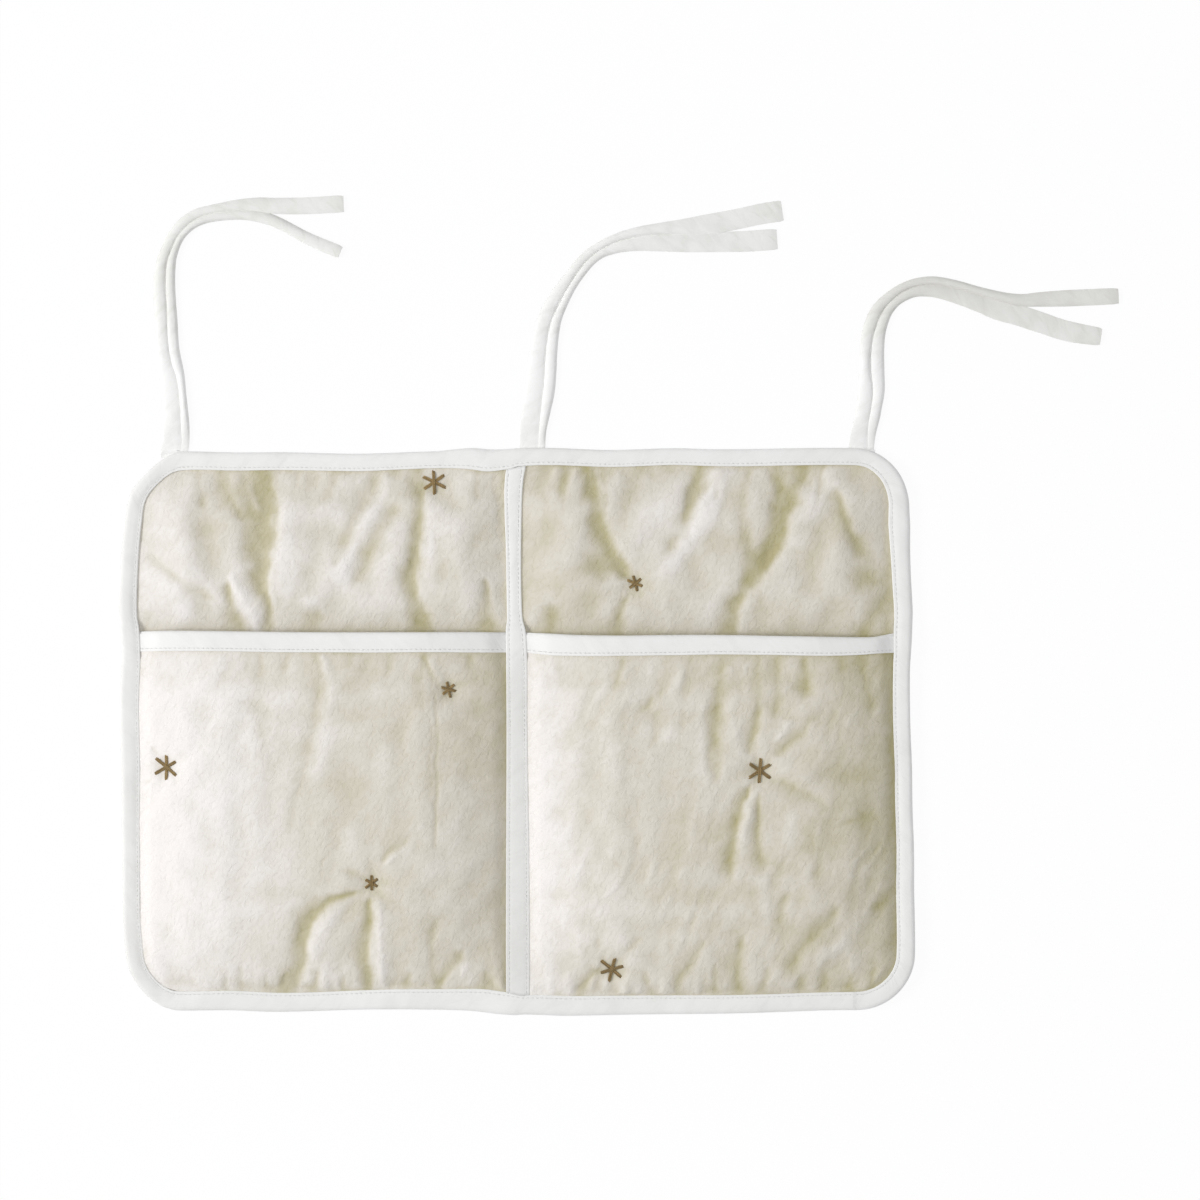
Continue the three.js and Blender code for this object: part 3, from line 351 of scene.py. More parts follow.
RIGHT_FOLDS = [
    ([(722, 652, 3.4), (720, 680, 4.2), (715, 710, 5), (714, 740, 5.6), (718, 790, 6)], -1.5, 0.2),
    ([(704, 690, 4), (702, 740, 4.4), (706, 790, 4)], 0.9, 0),
    ([(734, 680, 3.4), (733, 720, 3.6), (736, 750, 3)], 1, 0),
    ([(757, 700, 3.4), (756, 722, 3.2), (750, 742, 3), (748, 758, 1.8)], -1.6, 0.1),
    ([(758, 655, 3.4), (757, 690, 4), (756, 722, 2.6)], -1, 0),
    ([(770, 758, 1.4), (788, 742, 2.8), (804, 726, 3.8), (824, 704, 4.6)], -1.1, 0),
    ([(770, 745, 1.6), (784, 726, 2.6), (796, 712, 2.4)], 1.1, 0),
    ([(802, 655, 4), (804, 684, 4.6), (800, 704, 3)], -1.5, 0),
    ([(778, 655, 3), (776, 690, 3.4), (773, 722, 2.4)], -1, 0),
    ([(750, 780, 1.6), (742, 798, 2.8), (735, 820, 3.8), (731, 844, 4.4), (729, 890, 5.6)], -2.1, 0.3),
    ([(758, 788, 1.4), (757, 812, 2.8), (757, 836, 3.6), (762, 880, 5)], -1.6, 0.2),
    ([(750, 800, 1.6), (745, 824, 2.6), (743, 848, 2.6)], 1.3, 0),
    ([(786, 846, 3), (777, 868, 3.8), (770, 896, 4.4)], -1.1, 0.1),
    ([(786, 880, 3), (781, 906, 4), (779, 940, 4.4)], -1.3, 0.1),
    ([(757, 860, 4), (762, 890, 5), (768, 930, 5)], 0.8, 0),
    ([(842, 900, 3), (820, 924, 4.6), (803, 944, 5.4), (792, 962, 5.2), (786, 986, 4.4)], -1.8, 0.2),
    ([(850, 930, 4), (828, 952, 5), (814, 974, 4.6)], 1.3, 0),
    ([(832, 826, 3), (858, 816, 4.2), (886, 812, 4.6)], -1, 0),
    ([(806, 826, 4), (816, 860, 5), (818, 900, 5)], -1.2, 0),
    ([(774, 777, 1.4), (800, 790, 3.2), (836, 812, 5)], -0.8, 0),
    ([(786, 796, 3.4), (790, 830, 4.4), (786, 850, 3)], 0.9, 0),
    ([(896, 884, 3.4), (884, 900, 4.4), (862, 914, 4.4)], -1.8, 0),
    ([(742, 930, 2.6), (738, 960, 4), (736, 1000, 4.6)], -1.6, 0.1),
    ([(708, 932, 2.4), (690, 962, 3.4), (680, 982, 4), (678, 1000, 4)], -1.3, 0.1),
    ([(714, 960, 2), (716, 1000, 3)], -1.3, 0),
    ([(766, 962, 2), (762, 1000, 3)], -1.3, 0),
    ([(798, 966, 2), (800, 1000, 3)], -1.4, 0),
    ([(826, 966, 2), (822, 1000, 3.4)], -1.5, 0),
    ([(850, 966, 2), (850, 1000, 3)], -1.4, 0),
    ([(876, 960, 2), (872, 990, 3)], -1.2, 0),
    ([(604, 962, 1.6), (592, 974, 3), (580, 988, 4), (574, 1004, 4)], -2.3, 0),
    ([(622, 955, 1.6), (634, 944, 2.4), (646, 934, 2)], -1.1, 0),
    ([(598, 930, 2), (598, 954, 3)], -1.3, 0),
    ([(650, 990, 2.6), (654, 1004, 3)], -1.1, 0),
    ([(630, 980, 1.6), (634, 1004, 3)], -1, 0),
    ([(560, 985, 2), (556, 1004, 3)], -0.9, 0),
    ([(624, 652, 4.4), (619, 676, 4), (613, 694, 2.4)], -1.7, 0),
    ([(652, 690, 1), (650, 700, 1.6), (640, 716, 2)], -1.3, 0),
    ([(585, 700, 5), (587, 780, 6), (585, 850, 5)], -0.5, 0),
    ([(604, 700, 5), (606, 800, 6)], 0.4, 0),
    ([(640, 740, 5), (650, 800, 6)], -0.4, 0),
    ([(560, 655, 3.4), (564, 690, 2.6)], -0.7, 0),
    ([(668, 655, 3), (660, 700, 3.6), (652, 760, 3)], -0.8, 0),
    ([(690, 652, 3), (686, 690, 3.4), (680, 740, 3)], -0.7, 0),
    ([(840, 655, 3), (842, 680, 2.6)], -1, 0),
    ([(862, 655, 3.6), (866, 690, 3.4), (872, 720, 3)], -1.2, 0),
    ([(884, 655, 3), (886, 700, 3)], -1.2, 0),
    ([(670, 880, 12), (700, 900, 14), (690, 930, 12)], -0.6, 0),
]

# Dullness of each field, partly the cloth's own and partly painted shade that darkens it towards the east,
# away from the side light: stops across it in the photograph's pixels, and patches in it
BACK_TONES_AND_SHADE = (
    [(140, 0.18), (200, 0.30), (300, 0.34), (500, 0.36), (528, 0.42), (700, 0.44), (890, 0.52)],
    [
        (160, 560, 22, -0.1), (232, 530, 22, 0.05), (590, 585, 18, 0.12), (875, 590, 18, 0.08),
        (424, 610, 14, 0.04), (330, 560, 26, -0.06), (655, 530, 20, -0.08), (160, 482, 12, 0.08),
        (560, 490, 24, 0.06),
    ],
)
LEFT_TONES_AND_SHADE = (
    [(138, -0.04), (200, 0.10), (270, 0.26), (325, 0.38), (400, 0.46), (506, 0.51)],
    [
        (170, 850, 40, -0.06), (330, 965, 14, -0.12), (470, 900, 30, -0.08), (480, 760, 30, 0.08),
        (490, 690, 22, 0.08), (160, 670, 16, 0.06), (290, 930, 20, 0.06), (440, 780, 12, 0.06),
        (230, 790, 26, -0.05),
    ],
)
RIGHT_TONES_AND_SHADE = (
    [(526, 0.02), (575, 0.26), (620, 0.40), (700, 0.47), (800, 0.55), (880, 0.68), (902, 0.74)],
    [
        (610, 700, 18, 0.05), (742, 700, 22, 0.08), (690, 850, 26, 0.06), (850, 940, 26, -0.05),
        (600, 975, 16, 0.1), (700, 960, 24, 0.06), (770, 830, 14, -0.08), (560, 860, 26, -0.04),
        (880, 760, 22, 0.05),
    ],
)

# What differs between the pockets: the way from the middle, the cloth's folds, its dullness with painted
# shade, the seeds of its gathers, of its wrinkles and of its mouth, and how strong its folds and wrinkles are
POCKETS = {
    "left": SimpleNamespace(
        sign=-1, folds=LEFT_FOLDS, tones_and_shade=LEFT_TONES_AND_SHADE, seed=50, drape_seed=431, mouth_seed=130,
        creased=0.95, wrinkled=0.85,
    ),
    "right": SimpleNamespace(
        sign=1, folds=RIGHT_FOLDS, tones_and_shade=RIGHT_TONES_AND_SHADE, seed=90, drape_seed=461, mouth_seed=150,
        creased=1.05, wrinkled=1.9,
    ),
}


def from_photo(px, py):
    """A pixel of the photograph as a place on the panel, in millimetres."""
    return (px - PHOTO_MIDDLE[0]) * MM_PER_PIXEL, (PHOTO_MIDDLE[1] - py) * MM_PER_PIXEL


def stars_on(side):
    return [star for star in STARS if star[1] == side]


def clamp01(t):
    return np.clip(t, 0.0, 1.0)


def bulge(t):
    return np.sin(clamp01(t) * math.pi / 2)


def ease(t):
    t = clamp01(t)
    return t * t * (3 - 2 * t)


def ruffle(x, y, cell, seed):
    """Smooth noise from -1 to 1 over a plane, with lumps of about one cell."""
    table = np.random.default_rng(seed).uniform(-1, 1, (64, 64))
    u, v = np.broadcast_arrays(np.asarray(x) / cell, np.asarray(y) / cell)
    i, j = np.floor(u).astype(int), np.floor(v).astype(int)
    f, g = ease(u - i), ease(v - j)
    low = table[i % 64, j % 64] * (1 - f) + table[(i + 1) % 64, j % 64] * f
    high = table[i % 64, (j + 1) % 64] * (1 - f) + table[(i + 1) % 64, (j + 1) % 64] * f
    return low * (1 - g) + high * g


def half_width(inset, y):
    """Half the width at height y of a rounded rectangle that is inset from the rim."""
    radius = CORNER_RADIUS - inset
    from_edge = np.minimum(HALF_HEIGHT - inset - np.abs(y), radius)
    drawn_in = radius - np.sqrt(np.maximum(0, radius**2 - (radius - from_edge) ** 2))
    return HALF_WIDTH - inset - drawn_in


def opening_half(y):
    """Half the width of the opening inside the binding at height y."""
    y = np.asarray(y, float)
    inner = half_width(BINDING_WIDTH, np.clip(y, -OPENING_TOP, OPENING_TOP))
    return np.where(np.abs(y) < OPENING_TOP, inner, HALF_WIDTH - CORNER_RADIUS)


def places_off():
    """Rows of a place on the pattern, and how far across and up the sewn panel is from it."""
    rows = [(x, y, 0, off) for y, line in LEVEL_OFF.items() for x, off in line]
    rows += [(x, y, off, 0) for x, line in UPRIGHT_OFF.items() for y, off in line]
    rows += ENDS_OFF + [(x, y, 0, 0) for _, _, x, y, _, _ in STARS]
    return rows + [(x, y, 0, 0) for x in (-120, 120) for y in (-110, -40, 115)]


def plate(d):
    return np.where(d > 1e-9, d**2 * np.log(np.maximum(d, 1e-9)), 0.0)


def sewn_shape(side):
    """The weights of a thin plate through the places where one side lies off its pattern."""
    table = np.array([row for row in places_off() if row[0] * side > -2], float)
    at, off = table[:, :2], table[:, 2:]
    n = len(at)
    system = np.zeros((n + 3, n + 3))
    system[:n, :n] = plate(np.linalg.norm(at[:, None] - at[None], axis=2)) + np.eye(n) * 40
    system[:n, n:] = np.column_stack([np.ones(n), at])
    system[n:, :n] = system[:n, n:].T
    return at, np.linalg.solve(system, np.vstack([off, np.zeros((3, 2))]))


SEWN_SIDES = [sewn_shape(-1), sewn_shape(1)]


def sewn(x, y):
    """A place on the pattern, moved to where the sewn panel has it."""
    x, y = np.asarray(x, float), np.asarray(y, float)
    flat = np.column_stack([x.ravel(), y.ravel()])
    moved = []
    for part in np.array_split(flat, max(1, len(flat) // 4000)):
        share = ease((part[:, :1] + 4.5) / 9)
        sides = []
        for at, weights in SEWN_SIDES:
            near = plate(np.linalg.norm(part[:, None] - at[None], axis=2))
            sides.append(np.column_stack([near, np.ones(len(part)), part]) @ weights)
        moved.append(part + sides[0] * (1 - share) + sides[1] * share)
    moved = np.vstack(moved)
    return moved[:, 0].reshape(x.shape), moved[:, 1].reshape(y.shape)


def sewn_at(x, y, level):
    """Places on the pattern, as points at a level over the sewn panel."""
    px, py = sewn(x, y)
    return np.stack([px, py, np.broadcast_to(level, px.shape)], axis=-1)


def smooth_line(points, steps):
    """Points along a curve through the given ones, spaced evenly between each two."""
    p = np.array(points, float)
    p = np.vstack([2 * p[0] - p[1], p, 2 * p[-1] - p[-2]])
    out = []
    for share in np.linspace(0, len(p) - 3, steps):
        i = min(int(share), len(p) - 4)
        t = share - i
        a, b, c, d = p[i : i + 4]
        gaps = [max(1e-4, np.linalg.norm(q - r) ** 0.5) for q, r in ((a, b), (b, c), (c, d))]
        u = (b - a) / gaps[0] - (c - a) / (gaps[0] + gaps[1]) + (c - b) / gaps[1]
        v = (c - b) / gaps[1] - (d - b) / (gaps[1] + gaps[2]) + (d - c) / gaps[2]
        u, v = u * gaps[1], v * gaps[1]
        out.append(b + u * t + (3 * (c - b) - 2 * u - v) * t**2 + (2 * (b - c) + u + v) * t**3)
    return np.array(out)


def carried_on(rows, top, low):
    """A fold's places, with one more under the seam at each end that reaches one."""
    out = list(rows)
    for end, beyond, where in ((rows[0], rows[1], 0), (rows[-1], rows[-2], len(rows) + 1)):
        if end[1] > top - 8 or end[1] < low + 4:
            run = np.array(end[:2]) - np.array(beyond[:2])
            run = run * UNDER_SEAM / np.hypot(*run)
            out.insert(where, (end[0] + run[0], end[1] + run[1], end[2]))
    return out


def cloth_folds(x, y, folds, top, low):
    """The height that a table of creases and ridges adds at places on a field between two seams."""
    total = np.zeros_like(x)
    x, y = (
        x + 1.1 * ruffle(x, y, 9.0, 13) + 0.6 * ruffle(x, y, 4.0, 14),
        y + 1.8 * ruffle(x, y, 11.0, 15) + 0.8 * ruffle(x, y, 4.5, 16),
    )
    for stations, height, lean in folds:
        rows = carried_on([(*from_photo(px, py), half) for px, py, half in stations], top, low)
        line = smooth_line(rows, 5 * len(rows))
        (left, down, _), (right, up, broadest) = line.min(axis=0), line.max(axis=0)
        reach = 2.6 * broadest
        inside = (x > left - reach) & (x < right + reach) & (y > down - reach) & (y < up + reach)
        if inside.any():
            total[inside] += one_fold(x[inside], y[inside], line, height, lean)
    return total


def one_fold(x, y, line, height, lean):
    """One crease or ridge: a smooth trough or swell along a line, thinning away at its ends."""
    lengths = np.hypot(*np.diff(line[:, :2], axis=0).T)
    starts = np.concatenate([[0], np.cumsum(lengths)])
    near = np.full(x.shape, 1e9)
    side, along, half = np.zeros_like(x), np.zeros_like(x), np.ones_like(x)
    for i, (a, b) in enumerate(zip(line[:-1], line[1:])):
        run = b[:2] - a[:2]
        t = clamp01(((x - a[0]) * run[0] + (y - a[1]) * run[1]) / (run @ run))
        dx, dy = x - a[0] - t * run[0], y - a[1] - t * run[1]
        d = np.hypot(dx, dy)
        closer = d < near
        near = np.where(closer, d, near)
        side = np.where(closer, dx, side)
        along = np.where(closer, starts[i] + t * lengths[i], along)
        half = np.where(closer, a[2] + (b[2] - a[2]) * t, half)
    first, last = (min(3.2 * line[i, 2] + 1.5, 0.5 * starts[-1]) for i in (0, -1))
    ends = ease(along / first) * ease((starts[-1] - along) / last)
    wander = 1.1 + 0.25 * ruffle(x, y, 11.0, 17)
    broad = half * wander * (1 - lean * np.tanh(side / (0.6 * half))) * (0.5 + 0.5 * ends)
    uneven = 0.92 + 0.22 * ruffle(x, y, 8.0, 18)
    power = 1.4 + 0.9 * ease((half - 2.5) / 5)
    return height * uneven * np.exp(-((near / broad) ** power)) * ends


def pucker(along, away, reach, seed):
    """Short gathers that a line of stitches puts in the cloth beside it."""
    bent = along + 0.35 * away * ruffle(along, away * 0, 23.0, seed + 5)
    waves = 0.6 * ruffle(bent, 0, 4.2, seed) * np.exp(-away / (0.7 * reach))
    waves += 0.7 * ruffle(bent, 7, 8.5, seed + 1) * np.exp(-((away / (1.6 * reach)) ** 2))
    return waves * (0.65 + 0.6 * ruffle(along, 2, 34.0, seed + 2)) * ease(away / 2)


def tuft(x, y, stars):
    """The dents and short creases that the stars pull in the cloth."""
    total = np.zeros_like(x)
    for _, _, sx, sy, span, turn in stars:
        r = np.hypot(x - sx, y - sy)
        angle = np.arctan2(y - sy, x - sx)
        rays = np.cos(5 * angle + turn) + 0.7 * np.cos(8 * angle + sx)
        total -= (3.2 if span > LARGE_STAR else 2.6) * np.exp(-((r / 8.5) ** 1.6))
        total += 0.42 * rays * (r / 5) * np.exp(-r / 6.0)
    return total


def near_stars(x, y, stars, spread):
    """For each star, how near it a place is: 1 at the star and 0 far from it."""
    return [np.exp(-((x - sx) ** 2 + (y - sy) ** 2) / spread) for _, _, sx, sy, _, _ in stars]


def crinkle(x, y, seed):
    """The fine creases of washed cotton, brushed from lower left to upper right."""
    a, b = (x + y) * 0.7071, (y - x) * 0.7071
    a = a + 3 * ruffle(x, y, 30.0, seed + 9)
    b = b + 2 * ruffle(x, y, 24.0, seed + 8)
    return (
        0.45 * ruffle(a / 2.4, b, 4.8, seed)
        + 0.3 * ruffle(a / 1.6, b, 3.0, seed + 1)
        + 0.45 * ruffle(a / 1.8, b, 11.0, seed + 2)
    )


def drape(x, y, seed):
    """Wrinkles of loose cloth, long and narrow, most of them from low left to high right."""
    across = x + 6 * ruffle(x, y, 31.0, seed + 4) + 2.2 * ruffle(x, y, 12.0, seed + 5)
    up = y + 8 * ruffle(x, y, 37.0, seed + 6) + 2.0 * ruffle(x, y, 10.0, seed + 7)
    a, b = 0.34 * across + 0.94 * up, 0.94 * across - 0.34 * up
    wide = ruffle(b / 14, a / 42, 1.0, seed)
    crest = 0.6 - 2.2 * np.abs(ruffle(b / 9, a / 24, 1.0, seed + 1))
    close = ruffle(b / 4, a / 11, 1.0, seed + 2)
    patch = 0.55 + 0.45 * ruffle(x, y, 42.0, seed + 3)
    return 0.8 * wide + patch * (0.55 * crest + 0.35 * close)


def lowest(z, reach):
    """A grid of heights, each the lowest of its neighbourhood."""
    for axis in (0, 1):
        shifted = [z]
        for step in range(1, reach + 1):
            for way in (-step, step):
                moved = np.roll(z, way, axis=axis)
                edge = [slice(None)] * 2
                edge[axis] = slice(0, step) if way > 0 else slice(-step, None)
                moved[tuple(edge)] = z[tuple(edge)]
                shifted.append(moved)
        z = np.min(shifted, axis=0)
    return z


def blurred(z, times, reach):
    """A grid of heights averaged over its neighbours, a few times."""
    for _ in range(times):
        for axis in (0, 1):
            pad = [(reach, reach) if a == axis else (0, 0) for a in (0, 1)]
            total = np.cumsum(np.pad(z, pad, mode="edge"), axis=axis)
            total = np.insert(total, 0, 0, axis=axis)
            n = z.shape[axis]
            high = np.take(total, np.arange(2 * reach + 1, 2 * reach + 1 + n), axis=axis)
            z = (high - np.take(total, np.arange(n), axis=axis)) / (2 * reach + 1)
    return z


def doubled(grid):
    """A grid of points with a smooth one added between each two, along both sides."""
    for axis in (0, 1):
        g = np.moveaxis(grid, axis, 0)
        wide = np.concatenate([2 * g[:1] - g[1:2], g, 2 * g[-1:] - g[-2:-1]])
        between = (9 * (wide[1:-2] + wide[2:-1]) - wide[:-3] - wide[3:]) / 16
        out = np.empty((2 * len(g) - 1,) + g.shape[1:])
        out[0::2], out[1::2] = g, between
        grid = np.moveaxis(out, 0, axis)
    return grid


def resample(values, rows, columns):
    """A grid of values read at other numbers of rows and columns."""
    r = np.linspace(0, values.shape[0] - 1, rows).round().astype(int)
    c = np.linspace(0, values.shape[1] - 1, columns).round().astype(int)
    return values[r][:, c]


def halves(columns):
    """The columns of a piece's west and east halves, which share the middle one."""
    middle = columns // 2
    return {"west": slice(0, middle + 1), "east": slice(middle, None)}


def grid_faces(rows, columns):
    a = (np.arange(rows - 1)[:, None] * columns + np.arange(columns - 1)[None]).ravel()
    return np.column_stack([a, a + 1, a + columns + 1, a + columns])


def grid_normals(p):
    n = np.cross(np.gradient(p, axis=1), np.gradient(p, axis=0))
    return n / np.linalg.norm(n, axis=2, keepdims=True)


def tube_faces(count, sides, first=0, closed=False):
    """Faces of a tube of rings of points: its walls, and its ends unless it closes on itself."""
    faces = []
    for i in range(count if closed else count - 1):
        a, b = first + i * sides, first + (i + 1) % count * sides
        faces += [(a + k, a + (k + 1) % sides, b + (k + 1) % sides, b + k) for k in range(sides)]
    if not closed:
        last = first + (count - 1) * sides
        faces += [tuple(range(first, first + sides))[::-1], tuple(range(last, last + sides))]
    return faces


def lay_flat(mesh, places):
    """Gives a mesh the flat coordinates of its points, in metres, as its only map."""
    while mesh.uv_layers:
        mesh.uv_layers.remove(mesh.uv_layers[0])
    layer = mesh.uv_layers.new(name="Cloth")
    corner = np.zeros(len(mesh.loops), int)
    mesh.loops.foreach_get("vertex_index", corner)
    layer.data.foreach_set("uv", places[corner].ravel())


def mesh_piece(name, points, faces, uv=None, normals=None, marks=None):
    """A smooth mesh object from points in millimetres and faces of point numbers."""
    mesh = bpy.data.meshes.new(name)
    mesh.from_pydata((np.asarray(points, float) * MM).tolist(), [], [list(map(int, f)) for f in faces])
    mesh.polygons.foreach_set("use_smooth", [True] * len(mesh.polygons))
    if uv is not None:
        lay_flat(mesh, np.asarray(uv, float) * MM)
    for key, values in (marks or {}).items():
        layer = mesh.attributes.new(key, "FLOAT", "POINT")
        layer.data.foreach_set("value", np.asarray(values, np.float32).ravel())
    mesh.update()
    if normals is not None:
        mesh.normals_split_custom_set_from_vertices(np.asarray(normals, float).reshape(-1, 3).tolist())
    made = bpy.data.objects.new(name, mesh)
    bpy.context.scene.collection.objects.link(made)
    return made


def face_outwards(piece):
    """Turns a closed piece's faces outwards."""
    work = bmesh.new()
    work.from_mesh(piece.data)
    bmesh.ops.recalc_face_normals(work, faces=work.faces)
    work.to_mesh(piece.data)
    work.free()
    return piece


def cloth_shell(name, top, bottom, flat, marks=None, normals=None):
    """A closed sheet between two grids of points, its faces outwards and its top's shading kept."""
    rows, columns = top.shape[:2]
    count = rows * columns
    faces = grid_faces(rows, columns)
    ring = list(range(columns))
    ring += [r * columns + columns - 1 for r in range(1, rows)]
    ring += [(rows - 1) * columns + c for c in range(columns - 2, -1, -1)]
    ring += [r * columns for r in range(rows - 2, 0, -1)]
    wall = [(a, b, b + count, a + count) for a, b in zip(ring[1:] + ring[:1], ring)]
    whole = [*faces, *(faces[:, ::-1] + count), *wall]
    points = np.concatenate([top.reshape(-1, 3), bottom.reshape(-1, 3)])
    shade = grid_normals(top) if normals is None else normals
    shade = np.concatenate([shade.reshape(-1, 3), -shade.reshape(-1, 3)])
    uv = np.concatenate([flat.reshape(-1, 2)] * 2)
    both = {key: np.concatenate([v.ravel()] * 2) for key, v in (marks or {}).items()}
    return mesh_piece(name, points, whole, uv, shade, both)


def pad_shell(name, flat, lower, upper):
    """A closed pad between two heights over the sewn panel."""
    x, y = flat[..., 0], flat[..., 1]
    return cloth_shell(name, sewn_at(x, y, upper), sewn_at(x, y, lower), flat)


def settle(points, hold, grow, frames, pressure):
    """Lets Blender's cloth gather a grid of points, cut a little larger than its seams."""
    rows, columns = points.shape[:2]
    draft = mesh_piece("settling", points.reshape(-1, 3), grid_faces(rows, columns))
    group = draft.vertex_groups.new(name="sewn")
    for i, weight in enumerate(hold.ravel()):
        group.add([i], float(weight), "REPLACE")
    bpy.ops.object.select_all(action="DESELECT")
    bpy.context.view_layer.objects.active = draft
    draft.select_set(True)
    cloth = draft.modifiers.new("gather", "CLOTH")
    settings = cloth.settings
    settings.quality = 4
    settings.mass = 0.25
    settings.tension_stiffness = settings.compression_stiffness = 12
    settings.shear_stiffness = 4
    settings.bending_stiffness = 8
    settings.tension_damping = settings.compression_damping = 8
    settings.air_damping = 4
    settings.vertex_group_mass = "sewn"
    settings.pin_stiffness = 0.9
    settings.shrink_min = -grow
    settings.use_pressure = pressure != 0
    settings.uniform_pressure_force = pressure
    settings.effector_weights.gravity = 0
    cloth.collision_settings.use_collision = False
    for step in range(1, frames + 1):
        bpy.context.scene.frame_set(step)
    bpy.ops.object.modifier_apply(modifier="gather")
    settled = np.zeros(rows * columns * 3)
    draft.data.vertices.foreach_get("co", settled)
    bpy.data.objects.remove(draft)
    bpy.context.scene.frame_set(1)
    moved = settled.reshape(points.shape) / MM - points
    moved = np.stack([blurred(moved[..., k], 2, 1) for k in range(3)], axis=2)
    far = np.linalg.norm(moved, axis=2, keepdims=True)
    return points + moved * np.minimum(1, FARTHEST_SETTLED / np.maximum(far, 1e-9))


def rgba(colour):
    return (*colour, 1)


def tree_of(name):
    """A new material with an empty tree and its output."""
    made = bpy.data.materials.new(name)
    made.use_nodes = True
    made.node_tree.nodes.clear()
    return made, made.node_tree


def node(tree, kind, settings=None, **inputs):
    """A shader node with its settings and inputs, an input being a value or another node's output.

    An input is named, with a low line for each space, or is an i and its number.
    """
    made = tree.nodes.new(kind)
    for key, value in (settings or {}).items():
        setattr(made, key, value)
    for key, value in inputs.items():
        socket = made.inputs[int(key[1:]) if key[1:].isdigit() else key.replace("_", " ")]
        if isinstance(value, bpy.types.NodeSocket):
            tree.links.new(value, socket)
        else:
            socket.default_value = value
    return made


def maths(tree, operation, a, b=0.0, c=None, clamp=False):
    third = {} if c is None else {"i2": c}
    settings = {"operation": operation, "use_clamp": clamp}
    return node(tree, "ShaderNodeMath", settings, i0=a, i1=b, **third).outputs[0]


def off_middle(tree, value, middle, amount):
    """How far a value is above a middle one, times an amount."""
    return maths(tree, "MULTIPLY", maths(tree, "SUBTRACT", value, middle), amount)


def blend_colour(tree, kind, share, a, b):
    settings = {"data_type": "RGBA", "blend_type": kind}
    return node(tree, "ShaderNodeMix", settings, i0=share, i6=a, i7=b).outputs[2]


def noise(tree, place, scale, detail, dimensions="2D", **more):
    settings = {"noise_dimensions": dimensions}
    made = node(tree, "ShaderNodeTexNoise", settings, Vector=place, Scale=scale, Detail=detail, **more)
    return made.outputs[0]


def bump(tree, height, strength, distance, **more):
    made = node(tree, "ShaderNodeBump", Strength=strength, Distance=distance, Height=height, **more)
    return made.outputs[0]


def mark(tree, name):
    """A value that the piece's mesh carries at each point."""
    return node(tree, "ShaderNodeAttribute", {"attribute_name": name}).outputs["Fac"]


def flat_place(tree):
    return node(tree, "ShaderNodeUVMap", {"uv_map": "Cloth"}).outputs[0]


def new_group(name, inputs, outputs):
    """An empty shader node group with named sockets, and its input and output sockets."""
    tree = bpy.data.node_groups.new(name, "ShaderNodeTree")
    for label, kind, default in inputs:
        socket = tree.interface.new_socket(label, in_out="INPUT", socket_type="NodeSocket" + kind)
        if default is not None:
            socket.default_value = default
    for label in outputs:
        tree.interface.new_socket(label, in_out="OUTPUT", socket_type="NodeSocketFloat")
    given, out = tree.nodes.new("NodeGroupInput"), tree.nodes.new("NodeGroupOutput")
    return tree, given.outputs, out.inputs


@functools.cache
def weave_group():
    """Plain weave: yarns over and under each other, a little uneven in width."""
    tree, given, out = new_group(
        "Plain weave",
        [("Vector", "Vector", None), ("Yarn", "Float", 0.0006), ("Unevenness", "Float", 0.4)],
        ["Height", "Gap"],
    )
    sway = off_middle(tree, noise(tree, given["Vector"], 160.0, 2.0), 0.5, given["Unevenness"])
    parts = node(tree, "ShaderNodeSeparateXYZ", i0=given["Vector"]).outputs
    waves = []
    for axis in ("X", "Y"):
        turns = maths(tree, "DIVIDE", parts[axis], given["Yarn"])
        turns = maths(tree, "ADD", turns, maths(tree, "MULTIPLY", sway, 4.0))
        waves.append(maths(tree, "SINE", maths(tree, "MULTIPLY", turns, math.pi)))
    over = maths(tree, "MULTIPLY", waves[0], waves[1])
    rounded = [maths(tree, "ABSOLUTE", wave) for wave in waves]
    highest = maths(tree, "MAXIMUM", rounded[0], rounded[1])
    tree.links.new(maths(tree, "MULTIPLY_ADD", over, 0.5, 0.5), out["Height"])
    tree.links.new(maths(tree, "SUBTRACT", 1.0, highest, clamp=True), out["Gap"])
    return tree


@functools.cache
def crinkle_group():
    """Creases of washed cloth, longer along one direction, in two sizes."""
    inputs = [("Size", "Float", 0.003), ("Direction", "Float", 0.78), ("Stretch", "Float", 2.4)]
    tree, given, out = new_group("Washed creases", [("Vector", "Vector", None), *inputs], ["Height", "Tone"])
    turn = maths(tree, "MULTIPLY", given["Direction"], -1.0)
    settings = {"rotation_type": "Z_AXIS"}
    turned = node(tree, "ShaderNodeVectorRotate", settings, Vector=given["Vector"], Angle=turn)
    parts = node(tree, "ShaderNodeSeparateXYZ", i0=turned.outputs[0]).outputs
    long = maths(tree, "DIVIDE", parts[0], given["Stretch"])
    flat = node(tree, "ShaderNodeCombineXYZ", i0=long, i1=parts[1]).outputs[0]
    scale = maths(tree, "DIVIDE", 1.0, given["Size"])
    wide = noise(tree, flat, scale, 4.0, Roughness=0.6, Distortion=0.5)
    ridged = maths(tree, "ABSOLUTE", maths(tree, "SUBTRACT", wide, 0.5))
    height = maths(tree, "SUBTRACT", wide, maths(tree, "MULTIPLY", ridged, 0.3))
    cloud = noise(tree, flat, maths(tree, "MULTIPLY", scale, 0.22), 3.0, Roughness=0.55)
    tree.links.new(height, out["Height"])
    tree.links.new(cloud, out["Tone"])
    return tree


